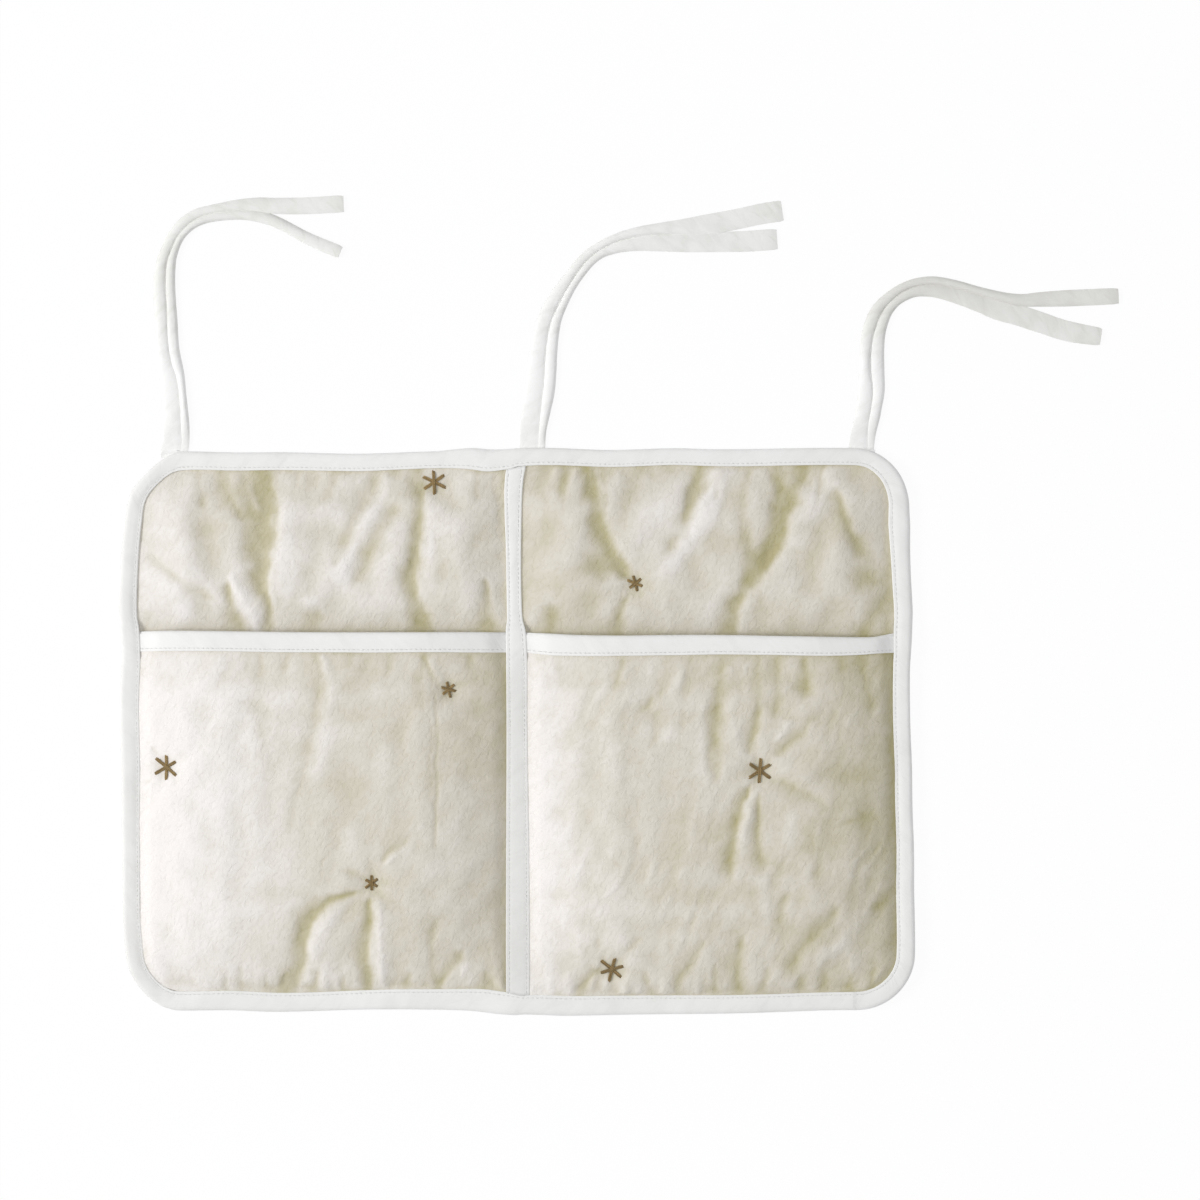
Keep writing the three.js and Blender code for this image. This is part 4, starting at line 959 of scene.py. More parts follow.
def cloth_relief(tree, crease, direction, stretch, yarn, unevenness):
    """Sockets of the crease group and of the weave group, on the piece's flat coordinates."""
    given = {"Vector": flat_place(tree), "Size": crease, "Direction": direction, "Stretch": stretch}
    creases = node(tree, "ShaderNodeGroup", {"node_tree": crinkle_group()}, **given)
    given = {"Vector": given["Vector"], "Yarn": yarn, "Unevenness": unevenness}
    weave = node(tree, "ShaderNodeGroup", {"node_tree": weave_group()}, **given)
    return creases.outputs, weave.outputs


def finish_material(tree, colour, roughness, normal, sheen):
    """The cloth's own shader, with its sheen as a plain value on the shader."""
    shader = node(tree, "ShaderNodeBsdfPrincipled", Base_Color=colour, Roughness=roughness, Normal=normal)
    shader.inputs["Sheen Weight"].default_value = sheen
    shader.inputs["Sheen Roughness"].default_value = 0.5
    shader.inputs["Specular IOR Level"].default_value = 0.25
    node(tree, "ShaderNodeOutputMaterial", Surface=shader.outputs[0])


def cotton_material(name, ridge, dull_and_shaded, dull, marked):
    """Washed, crinkled cotton, pale on its ridges, darkened towards olive by painted shade in its creases and
    seams, and by its marked dullness, which is partly painted shade too.
    """
    made, tree = tree_of(name)
    settings = bpy.context.scene.organizer.cloth
    creases, weave = cloth_relief(tree, settings.crinkle, 1.0, 1.7, settings.yarn, 0.5)
    depth = creases["Height"]
    shade = PLAIN_SHADE
    if marked:
        # Painted shade from the piece's marks: its creases, dents and seams, and its dullness, part of which
        # is the fall of the side light
        shade = maths(tree, "MULTIPLY_ADD", mark(tree, "painted_shade"), 0.75, mark(tree, "tone_and_shade"))
    # Painted shade in the fine crinkles: darker where they are low
    shade = maths(tree, "ADD", off_middle(tree, depth, 0.46, -0.24), shade)
    shade = maths(tree, "ADD", off_middle(tree, creases["Tone"], 0.5, 0.26), shade, clamp=True)
    colour = blend_colour(tree, "MIX", shade, ridge, dull_and_shaded)
    gap = maths(tree, "MULTIPLY", weave["Gap"], 0.35)
    colour = blend_colour(tree, "MIX", gap, colour, dull)
    rough = maths(tree, "MULTIPLY_ADD", depth, -0.12, 0.96)
    wide = bump(tree, depth, 0.5, 0.001)
    finish_material(tree, colour, rough, bump(tree, weave["Height"], 0.35, 0.00012, Normal=wide), 0.04)
    return made


def trim_material(name, settings, crease, crease_shading):
    """Plain woven trim: bright, flat yarns with soft bias creases, painted shade in their low parts, and the
    dullness that the piece's shade mark asks for.
    """
    made, tree = tree_of(name)
    creases, weave = cloth_relief(tree, crease, 0.7, 3.0, settings.yarn, 0.35)
    # Painted shade in the creases: darker where they are low
    fold = off_middle(tree, creases["Height"], 0.55, -crease_shading)
    cloud = off_middle(tree, creases["Tone"], 0.45, 0.9)
    share = maths(tree, "ADD", maths(tree, "ADD", fold, mark(tree, "shade")), cloud, clamp=True)
    colour = blend_colour(tree, "MIX", share, rgba(settings.colour), rgba(settings.shaded_colour))
    gap = maths(tree, "MULTIPLY", weave["Gap"], 0.3)
    colour = blend_colour(tree, "MULTIPLY", gap, colour, (0.72, 0.72, 0.7, 1))
    rough = maths(tree, "MULTIPLY_ADD", weave["Height"], -0.1, 0.9)
    wide = bump(tree, creases["Height"], 0.4, 0.0008)
    finish_material(tree, colour, rough, bump(tree, weave["Height"], 0.2, 0.00006, Normal=wide), 0.1)
    return made


def thread_material(name, pale, dark, ply, sheen, stranded):
    """Twisted thread: slanted plies with painted shade between them, and a soft lustre."""
    made, tree = tree_of(name)
    run = flat_place(tree)
    parts = node(tree, "ShaderNodeSeparateXYZ", i0=run).outputs
    turns = [maths(tree, "DIVIDE", parts[0], ply), maths(tree, "DIVIDE", parts[1], ply * 1.6)]
    turns = maths(tree, "MULTIPLY", maths(tree, "ADD", *turns), math.pi)
    wave = maths(tree, "ABSOLUTE", maths(tree, "SINE", turns))
    fuzz = noise(tree, run, 1400.0, 3.0)
    share = maths(tree, "MULTIPLY", wave, maths(tree, "ADD", fuzz, 0.45), clamp=True)
    if stranded:
        paler = maths(tree, "MULTIPLY_ADD", mark(tree, "strand"), 0.6, 0.55)
        share = maths(tree, "MULTIPLY", share, paler, clamp=True)
    colour = blend_colour(tree, "MIX", share, dark, pale)
    rough = maths(tree, "MULTIPLY_ADD", fuzz, 0.2, 0.5)
    finish_material(tree, colour, rough, bump(tree, wave, 0.6, 0.0002), sheen)
    return made


def wadding_material():
    """Soft white wadding: loose, crossing fibres over low lumps."""
    made, tree = tree_of("Polyester wadding")
    place = node(tree, "ShaderNodeTexCoord").outputs["Object"]
    fibres = noise(tree, place, 900.0, 6.0, "3D", Roughness=0.7, Distortion=2.0)
    lumps = noise(tree, place, 60.0, 3.0, "3D")
    colour = blend_colour(tree, "MIX", fibres, (0.9, 0.9, 0.88, 1), (0.78, 0.77, 0.74, 1))
    rough = maths(tree, "MULTIPLY_ADD", fibres, 0.1, 0.88)
    low = bump(tree, lumps, 0.5, 0.002)
    finish_material(tree, colour, rough, bump(tree, fibres, 0.5, 0.0004, Normal=low), 0.2)
    return made


@functools.cache
def material_for(slot):
    """The material of one of the record's slots, made the first time that it is asked for."""
    look = bpy.context.scene.organizer
    if slot == "crinkled_cotton":
        colours = rgba(look.cloth.ridge_colour), rgba(look.cloth.dull_and_shaded_colour), (0.42, 0.38, 0.27, 1)
        return cotton_material("Crinkled cotton", *colours, True)
    if slot == "lining_cotton":
        # The lining's second colour is painted shade in its fine crinkles, and its plain dullness
        colours = (0.8, 0.77, 0.71, 1), (0.7, 0.67, 0.58, 1), (0.5, 0.46, 0.36, 1)
        return cotton_material("Plain cotton lining", *colours, False)
    if slot == "white_binding":
        return trim_material("White bias binding", look.binding, 0.009, 0.8)
    if slot == "white_tape":
        return trim_material("White cotton tape", look.ties, 0.006, 1.0)
    if slot == "white_thread":
        # The second colour is painted shade between the thread's plies
        colours = (0.86, 0.86, 0.84, 1), (0.76, 0.76, 0.73, 1)
        return thread_material("White sewing thread", *colours, 0.0004, 0.05, False)
    if slot == "brown_thread":
        colours = rgba(look.stars.colour), rgba(look.stars.ply_shade_colour)
        return thread_material("Brown stranded thread", *colours, look.stars.ply, 0.1, True)
    if slot == "wadding":
        return wadding_material()
    raise ValueError("no finish for the slot " + slot)


def dress(piece, slot, node_name):
    """Gives a piece the finish of its slot, and hides the CAD node that it stands for."""
    piece.data.materials.clear()
    piece.data.materials.append(material_for(slot))
    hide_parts(node_name)
    return piece


def dress_panel(piece, slot, node_name):
    """Dresses a piece that rides with the panel."""
    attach(dress(piece, slot, node_name), "panel")
    return piece


def dress_pocket(piece, slot, node_name):
    """Dresses a piece of a pocket, and bakes its place into its points."""
    dress(piece, slot, node_name)
    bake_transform(piece)
    return piece


# Heights of the back and of the pockets on the pattern, close to those of the part's source


def upper_rise(x, y):
    side = bulge((opening_half(y) - np.abs(x)) / UPPER_EASE)
    tape = bulge((np.abs(x) - HALF_TAPE) / UPPER_EASE)
    top = 0.35 * bulge((OPENING_TOP - y) / UPPER_EASE) + 0.65 * ease((OPENING_TOP - y) / UPPER_EASE)
    return UPPER_RISE * side * tape * top * bulge((y - MOUTH_TOP) / UPPER_EASE)


def inside_opening(x, y):
    """How far inside the binding's opening a place is."""
    return np.minimum(opening_half(y) - np.abs(x), OPENING_TOP - np.abs(y))


def lining_level(x, y):
    """Height of the back lining's underside: on the table, and up to the binding at the rim."""
    return 1.2 * (1 - clamp01(inside_opening(x, y) / 12))


def pocket_edges(x, y):
    """Distances from the pocket's inner and outer sides and from its bottom seam."""
    inner = np.abs(x) - POCKET_INNER
    outer = half_width(POCKET_INSET, y) - np.abs(x)
    return inner, outer, y - POCKET_BOTTOM


def pocket_floor(x, y):
    """Height of the pocket lining's underside."""
    inner, outer, low = pocket_edges(x, y)
    arch = bulge(inner / HOLLOW_EASE) * bulge(outer / HOLLOW_EASE) * bulge(low / HOLLOW_EASE)
    lift = 1.2 * clamp01((y - MOUTH_INNER + 15) / 15)
    return 5.2 + lift * ease(np.minimum(inner, outer) / 14) + POCKET_HOLLOW * arch


def soft_rise(distance, reach):
    """How full the padding is at a distance from a seam, with no plateau's edge."""
    return 0.45 * bulge(distance / reach) + 0.55 * bulge(distance / (2.9 * reach))


def pocket_loft(x, y):
    """Thickness of the pocket's wadding."""
    inner, outer, low = pocket_edges(x, y)
    across = soft_rise(inner, POCKET_EASE) * soft_rise(outer, POCKET_EASE)
    along = soft_rise(low, POCKET_EASE) * soft_rise(MOUTH_INNER - y, POCKET_EASE)
    return 0.4 + (POCKET_LOFT - 0.5) * across * along


def pocket_stack(x, y):
    """Thickness from the lining's underside to the cloth's top, squeezed thin in the side seams."""
    inner, outer, low = pocket_edges(x, y)
    seam = ease(np.minimum(np.minimum(inner, outer), low) / 9)
    return 1.0 + 1.3 * seam + pocket_loft(x, y)


def back_seams(x, y):
    """Distances from the side, the tape and the top of the upper fields, and from the nearest."""
    side = np.maximum(0, opening_half(y) - np.abs(x))
    tape = np.maximum(0, np.abs(x) - HALF_TAPE)
    top = np.maximum(0, OPENING_TOP - y)
    return side, tape, top, np.minimum(np.minimum(side, tape), top)


def pocket_seams(x, y):
    """Distances from a pocket's inner side, outer side, bottom and mouth, and from the nearest."""
    inner, outer, low = (np.maximum(0, d) for d in pocket_edges(x, y))
    mouth = np.maximum(0, MOUTH_INNER - y)
    return inner, outer, low, mouth, np.minimum(np.minimum(inner, outer), np.minimum(low, mouth))


# The finished face cloths' points by side, for what is sewn onto them
FACE_TOPS = {}


def height_on(side, x, y):
    """Height of a finished face cloth at a place on the sewn panel."""
    top = FACE_TOPS[side].reshape(-1, 3)
    d = (top[:, 0] - x) ** 2 + (top[:, 1] - y) ** 2
    near = np.argpartition(d, 4)[:4]
    weight = 1 / (d[near] + 1e-3)
    return float((top[near, 2] * weight).sum() / weight.sum())


def tone_and_shade_over(x, y, seed, across, patches):
    """How dull the cloth is, from 0 to 1: stops from side to side, soft clouds and placed patches. Part of it
    is painted shade, darker towards the east, away from the side light.
    """
    stops = np.array(across)
    total = np.interp(x, from_photo(stops[:, 0], 0)[0], stops[:, 1])
    total += 0.07 * ruffle(x, y, 55.0, seed) + 0.06 * ruffle(x, y, 21.0, seed + 1)
    for px, py, reach, amount in patches:
        cx, cy = from_photo(px, py)
        total += amount * np.exp(-((x - cx) ** 2 + (y - cy) ** 2) / reach**2)
    return total


def painted_shade_mark(off, shape):
    """The painted shade of each point: darker in dents off the even crown and in the creases placed there,
    paler on the ridges placed there. It is 0 on level cloth, above 0 where shade is painted and below 0 on a
    ridge.
    """
    deep, near = blurred(off, 2, 9) - off, blurred(off, 2, 3) - off
    painted_shade = np.clip(0.20 * deep + 0.45 * near, -0.3, 0.7)
    return np.clip(0.5 * painted_shade - 0.42 * shape / 3.5, -0.35, 0.62)


def gathered(points, hold, grow, settings):
    """A face cloth settled into its seams, where the settings ask for it."""
    if not settings.gather:
        return points
    return settle(points, hold, grow * settings.ease, SETTLING_FRAMES, SETTLING_PRESSURE)


def worked(points, settings, seam, shown, shape, full, wrinkles, rough, level, floor):
    """Works creases, wrinkles and gathers into a face cloth, and gives the painted shade of its points in
    their dents and creases.
    """
    depth = np.where(shape < 0, full, 1.0) * ease(seam / 4) * shown
    points[..., 2] += shape * depth * settings.fold_depth
    points[..., 2] += settings.wrinkle_depth * wrinkles * shown
    points[..., 2] += rough * ease(seam / 3) * shown
    points[..., 2] = np.maximum(points[..., 2], floor)
    return painted_shade_mark(points[..., 2] - level, shape)


def face_of_back(settings):
    """The back's face cloth: crowned in the upper fields, creased, gathered at its seams and tufted."""
    high, stars = HALF_HEIGHT - LAYER_INSET, stars_on("back")
    hidden = np.linspace(-high, MOUTH_TOP - 10, HIDDEN_ROWS)
    upper = np.linspace(MOUTH_TOP - 10, high, UPPER_ROWS)
    y = np.repeat(np.concatenate([hidden, upper[1:]])[:, None], BACK_COLUMNS, axis=1)
    x = np.linspace(-1, 1, BACK_COLUMNS)[None] * half_width(LAYER_INSET, y)
    flat, seam = np.stack([x, y], axis=2), back_seams(x, y)[-1]
    px, py = sewn(x, y)
    z = SEAM_TOP + upper_rise(x, y) + tuft(px, py, stars) * ease(seam / 3) * (y > MOUTH_TOP)
    points = np.stack([px, py, np.maximum(z, SEAM_TOP - 0.1)], axis=2)
    loose = ease(seam / 5) * ease((y - MOUTH_TOP + 4) / 12)
    hold = np.max([1 - HELD_LESS * loose, *near_stars(px, py, stars, 36)], axis=0)
    points = gathered(points, np.where(y < MOUTH_TOP - 4, 1.0, hold), BACK_GATHERED, settings)
    points, flat = doubled(points), doubled(flat)
    x, y, px, py = flat[..., 0], flat[..., 1], points[..., 0], points[..., 1]
    side, tape, top, seam = back_seams(x, y)
    low = np.maximum(0, y - MOUTH_TOP)
    rise = upper_rise(x, y)
    rough = 1.8 * pucker(x, top, 9, 11) * ease(side / 8) + 0.5 * pucker(y, side, 6, 21)
    rough += 0.4 * pucker(y, tape, 5, 31) + 0.3 * pucker(x, low, 9, 41)
    rough += settings.crinkle_depth * crinkle(px, py, 3)
    shape = cloth_folds(px, py, BACK_FOLDS, OPENING_TOP, MOUTH_TOP) * (1 + 0.7 * np.exp(-top / 9))
    full = 0.35 + 0.65 * clamp01(rise / 4.2)
    wrinkles = drape(px, py, 401) * ease(seam / 9)
    shown = ease((y - MOUTH_TOP + 6) / 10)
    level, floor = SEAM_TOP + rise, SEAM_TOP - 0.1
    dark = worked(points, settings, seam, shown, shape, full, wrinkles, rough, level, floor)
    # Painted shadow: a dark band just above the pockets' mouth where the mouth binding's shadow falls, and
    # painted shade along every seam
    dark += 0.35 * np.exp(-low / 3) * ease(seam / 4)
    return points, flat, dark + 0.25 * np.exp(-seam / 1.8)


def face_of_pocket(side, settings):
    """A pocket's face cloth, the same way, over the arch of the pocket."""
    pocket, stars = POCKETS[side], stars_on(side)
    y = np.repeat(np.linspace(POCKET_BOTTOM, FACE_TOP, POCKET_ROWS)[:, None], POCKET_COLUMNS, axis=1)
    reach = half_width(POCKET_INSET, y) - POCKET_INNER
    x = pocket.sign * (POCKET_INNER + np.linspace(0, 1, POCKET_COLUMNS)[None] * reach)
    if pocket.sign < 0:
        x = x[:, ::-1]
    flat, seam = np.stack([x, y], axis=2), pocket_seams(x, y)[-1]
    px, py = sewn(x, y)
    z = pocket_floor(x, y) + pocket_stack(x, y) + tuft(px, py, stars) * ease(seam / 3)
    hold = np.where(y > MOUTH_INNER, 1.0, 1 - HELD_LESS * ease(seam / 5))
    hold = np.max([hold, *near_stars(px, py, stars, 36)], axis=0)
    points = gathered(np.stack([px, py, z], axis=2), hold, POCKET_GATHERED, settings)
    points, flat = doubled(points), doubled(flat)
    x, y, px, py = flat[..., 0], flat[..., 1], points[..., 0], points[..., 1]
    inner, outer, low, mouth, seam = pocket_seams(x, y)
    seed = pocket.seed
    rough = 2.0 * pucker(x, low, 10, seed) + 0.8 * pucker(x, mouth, 8, seed + 8)
    rough += 0.5 * pucker(y, outer, 6, seed + 16) + 0.35 * pucker(y, inner, 5, seed + 24)
    rough += settings.crinkle_depth * crinkle(px, py, seed + 30)
    shape = cloth_folds(px, py, pocket.folds, MOUTH_INNER, -OPENING_TOP)
    shape *= pocket.creased * (1 + 0.7 * np.exp(-low / 9) + 0.4 * np.exp(-mouth / 9))
    full = 0.4 + 0.6 * clamp01(pocket_loft(x, y) / 4.5)
    wrinkles = pocket.wrinkled * drape(px, py, pocket.drape_seed) * ease(seam / 10)
    floor = pocket_floor(x, y)
    level, floor = floor + pocket_stack(x, y), floor + 1.35
    dark = worked(points, settings, seam, 1.0, shape, full, wrinkles, rough, level, floor)
    # Painted shade: darker along the pocket's east side, away from the side light, and along every seam
    east = inner if pocket.sign < 0 else outer
    return points, flat, dark + 0.26 * np.exp(-east / 5) + 0.2 * np.exp(-seam / 1.8)


def shell_of_face(name, points, flat, tones_and_shade, seed, normals, painted_shade, part=slice(None)):
    """The face cloth, or the part of its columns that is asked for, with its shading marks."""
    thin = points[:, part].copy()
    thin[..., 2] -= COTTON * 0.6
    tone_and_shade = tone_and_shade_over(points[..., 0], points[..., 1], seed, *tones_and_shade)
    marks = {"painted_shade": painted_shade[:, part], "tone_and_shade": tone_and_shade[:, part]}
    return cloth_shell(name, points[:, part], thin, flat[:, part], marks, normals[:, part])


def lap_over(y):
    """How much of a trim laps over the pockets' edges at height y, and how far that lifts it."""
    share = ease((MOUTH_TOP + 9 - y) / 8)
    at_mouth = ease((y - MOUTH_INNER + 6) / 5) * ease((MOUTH_TOP + 7 - y) / 6)
    return share, 1.1 * share + 0.75 * at_mouth


def folded_section(width, height, wall, full, lip):
    """The outline of a binding folded over an edge: in from the fold, and up from its underside.

    The lip is how far down its inner edge reaches onto what it is sewn to.
    """
    return np.array([
        (width, 0.25), (width - 1.2, 0.05), (width * 0.6, 0), (width * 0.3, 0), (2.0, 0.08), (0.9, 0.45),
        (0.25, 1.2), (0, height * 0.5), (0.25, height - 1.3), (0.9, height - 0.5 + full * 0.1),
        (2.0, height + full * 0.5), (3.4, height + full * 0.85), (width * 0.5, height + full),
        (width * 0.68, height + full * 0.75), (width - 2.6, height + full * 0.2),
        (width - 1.8, height - 0.05), (width - 1.0, height + 0.06), (width - 0.35, height + 0.02),
        (width, height - 0.2), (width, height - lip), (width - 0.9, height - lip - 0.02),
        (width - 1.0, height - wall), (width * 0.5, height - wall), (2.4, height - wall),
        (1.2, height - wall - 0.5), (0.9, height * 0.5),
        (1.2, wall + 0.5), (2.4, wall), (width * 0.5, wall), (width - 0.5, wall), (width, wall - 0.1),
    ])


def ring_normals(rings):
    """Outward normals of a tube's points."""
    p = np.concatenate([rings[:, -1:], rings, rings[:, :1]], axis=1)
    n = np.cross(np.gradient(rings, axis=0), (p[:, 2:] - p[:, :-2]))
    n = n / np.maximum(np.linalg.norm(n, axis=2, keepdims=True), 1e-9)
    out = rings - rings.mean(axis=1, keepdims=True)
    return n * np.sign((n * out).sum())


def strip_piece(name, rings, along, closed, normals=None, shade=0.0):
    """A tube of equal sections: rings of points, each ring's place along, and whether it closes."""
    count, sides = rings.shape[:2]
    step = np.linalg.norm(np.diff(rings, axis=1, append=rings[:, :1]), axis=2)
    round_it = np.concatenate([np.zeros((count, 1)), np.cumsum(step, axis=1)[:, :-1]], axis=1)
    uv = np.stack([round_it, np.repeat(np.asarray(along)[:, None], sides, axis=1)], axis=2)
    # How far each ring is mixed towards the trim's shaded colour: painted shade on the ties, a duller colour
    # on the bindings
    dull_shares = {"shade": np.repeat(np.broadcast_to(shade, count)[:, None], sides, axis=1)}
    faces = tube_faces(count, sides, closed=closed)
    piece = face_outwards(mesh_piece(name, rings.reshape(-1, 3), faces, uv.reshape(-1, 2), None, dull_shares))
    if normals is not None:
        piece.data.normals_split_custom_set_from_vertices(normals.reshape(-1, 3).tolist())
    return piece


def rim_path(step):
    """Places round the rim: centre of turn, outward direction and length along."""
    cx, cy = HALF_WIDTH - CORNER_RADIUS, HALF_HEIGHT - CORNER_RADIUS
    corners = [(cx, -cy), (cx, cy), (-cx, cy), (-cx, -cy)]
    path, length = [], 0.0
    for quarter, corner in enumerate(corners):
        turns = max(2, int(CORNER_RADIUS * math.pi / 2 / step))
        for i in range(turns + 1):
            angle = (quarter - 1 + i / turns) * math.pi / 2
            path.append((*corner, math.cos(angle), math.sin(angle), length))
            length += CORNER_RADIUS * math.pi / 2 / turns if i < turns else 0
        after = corners[(quarter + 1) % 4]
        gap = math.dist(corner, after)
        angle = quarter * math.pi / 2
        count = int(gap / step)
        for i in range(1, count):
            share = i / count
            middle = [corner[k] + (after[k] - corner[k]) * share for k in (0, 1)]
            path.append((*middle, math.cos(angle), math.sin(angle), length + gap * share))
        length += gap
    return np.array(path)


def rim_point(place, inwards):
    """Pattern places at a distance inwards from the rim."""
    reach = CORNER_RADIUS - inwards
    return place[..., 0] + place[..., 2] * reach, place[..., 1] + place[..., 3] * reach


def binding_waves(along):
    """Small changes along the edge binding: fullness and the reach of its front flap."""
    full = 0.55 + 0.25 * ruffle(along, 0, 26.0, 61) + 0.12 * ruffle(along, 3, 7.0, 62)
    return full, 0.22 * ruffle(along, 9, 34.0, 63)


def sewn_stitch(x, y, run, level):
    """Both ends of a stitch about a place on the pattern, along a level direction."""
    return [sewn_at(x + run[0] * d, y + run[1] * d, level) for d in (-HALF_STITCH, HALF_STITCH)]


def stitch_row(name, ends):
    """A row of short stitches, each a low hump of thread between its two ends."""
    ring = [(math.cos(a), math.sin(a)) for a in np.linspace(0, 2 * math.pi, 6, endpoint=False)]
    stations = [(-1.0, 0.35, -0.5), (-0.72, 0.9, 0.05), (0, 1.0, 0.22), (0.72, 0.9, 0.05), (1.0, 0.35, -0.5)]
    half_thick, up = STITCH_WIDTH / 2, np.array([0, 0, STITCH_HEIGHT])
    points, faces, uv = [], [], []
    for a, b in ends:
        run = (b - a) / 2
        side = np.cross(up, run)
        side = side / np.linalg.norm(side) * half_thick
        faces += tube_faces(len(stations), len(ring), len(points))
        for t, size, rise in stations:
            middle = (a + b) / 2 + run * t + up * rise
            for k, (c, s) in enumerate(ring):
                points.append(middle + side * c * size + up * s * size / 2)
                uv.append((k * half_thick, t * np.linalg.norm(run)))
    return face_outwards(mesh_piece(name, points, faces, uv))


def colour_setting(name, what, default):
    return bpy.props.FloatVectorProperty(
        name=name, description=what, subtype="COLOR", default=default, min=0, max=1,
    )


def length_setting(name, what, default, low, high):
    return bpy.props.FloatProperty(
        name=name, description=what, unit="LENGTH", default=default, min=low, max=high,
    )


def number_setting(name, what, default, high, **more):
    return bpy.props.FloatProperty(name=name, description=what, default=default, min=0, max=high, **more)


def yarn_setting(default):
    return length_setting("Yarn", "Distance from one yarn to the next", default, 0.0002, 0.003)


class ClothSettings(bpy.types.PropertyGroup):
    """The quilted cloth."""

    ridge_colour: colour_setting("Ridge colour", "Colour where the cloth stands proud", (0.892, 0.852, 0.835))
    # Painted shade: this second colour darkens the cloth in its creases, dents and seams, and gives the
    # dullness marked on each field, which is partly painted shade
    dull_and_shaded_colour: colour_setting("Hollow colour", "Colour of the cloth in its creases", (0.445, 0.40, 0.222))
    yarn: yarn_setting(0.0007)
    crinkle: length_setting("Crinkle size", "Width of the fine creases", 0.0025, 0.001, 0.02)
    crinkle_depth: number_setting("Crinkle depth", "Height of the fine creases in millimetres", 0.12, 2)
    wrinkle_depth: number_setting("Wrinkle depth", "Height of the unplaced wrinkles in millimetres", 0.34, 2)
    fold_depth: number_setting("Fold depth", "Share of the large folds' height", 0.74, 2, subtype="FACTOR")
    ease: number_setting("Gathering", "Share larger that cloth is cut", 0.011, 0.1, subtype="FACTOR")
    gather: bpy.props.BoolProperty(
        name="Gather", description="Let the cloth settle into its seams by simulation", default=True,
    )


class BindingSettings(bpy.types.PropertyGroup):
    """The bindings and the tape down the middle."""

    colour: colour_setting("Colour", "Colour of the bindings", (0.86, 0.855, 0.84))
    # The shaded colour is painted shade in the trims' creases, and also the duller colour that their shade
    # marks ask for
    shaded_colour: colour_setting("Shaded colour", "Colour of their faint creases", (0.745, 0.735, 0.715))
    yarn: yarn_setting(0.0005)


class TieSettings(bpy.types.PropertyGroup):
    """The six ties."""

    width: length_setting("Width", "Width of the tape", 0.013, 0.004, 0.03)
    thickness: length_setting("Thickness", "Thickness of the folded tape", 0.0009, 0.0004, 0.004)
    colour: colour_setting("Colour", "Colour of the tape", (0.905, 0.905, 0.89))
    # The shaded colour is painted shade in the tape's creases and where it is turned up, and its duller
    # colour towards its far ends
    shaded_colour: colour_setting("Shaded colour", "Colour of its creases", (0.74, 0.73, 0.695))
    yarn: yarn_setting(0.0006)


class StarSettings(bpy.types.PropertyGroup):
    """The embroidered stars."""

    colour: colour_setting("Colour", "Colour of the thread", (0.43, 0.295, 0.125))
    # Painted shade: this nearly black colour darkens the grooves between the thread's plies
    ply_shade_colour: colour_setting("Dark colour", "Colour between the strands", (0.06, 0.04, 0.014))
    ply: length_setting("Ply", "Width of one twisted ply", 0.0008, 0.0002, 0.003)


class StageSettings(bpy.types.PropertyGroup):
    """Light and camera."""

    key_power: number_setting("Side light", "Power of the soft light from the left", 98.0, 500, unit="POWER")
    sky: number_setting("Sky", "Level of the even light all round", 0.5, 3, subtype="FACTOR")
    lens: bpy.props.FloatProperty(
        name="Lens", description="Focal length in millimetres", default=85.0, min=20, max=300,
    )


class OrganizerSettings(bpy.types.PropertyGroup):
    """All settings of the organizer."""

    cloth: bpy.props.PointerProperty(type=ClothSettings)
    binding: bpy.props.PointerProperty(type=BindingSettings)
    ties: bpy.props.PointerProperty(type=TieSettings)
    stars: bpy.props.PointerProperty(type=StarSettings)
    stage: bpy.props.PointerProperty(type=StageSettings)


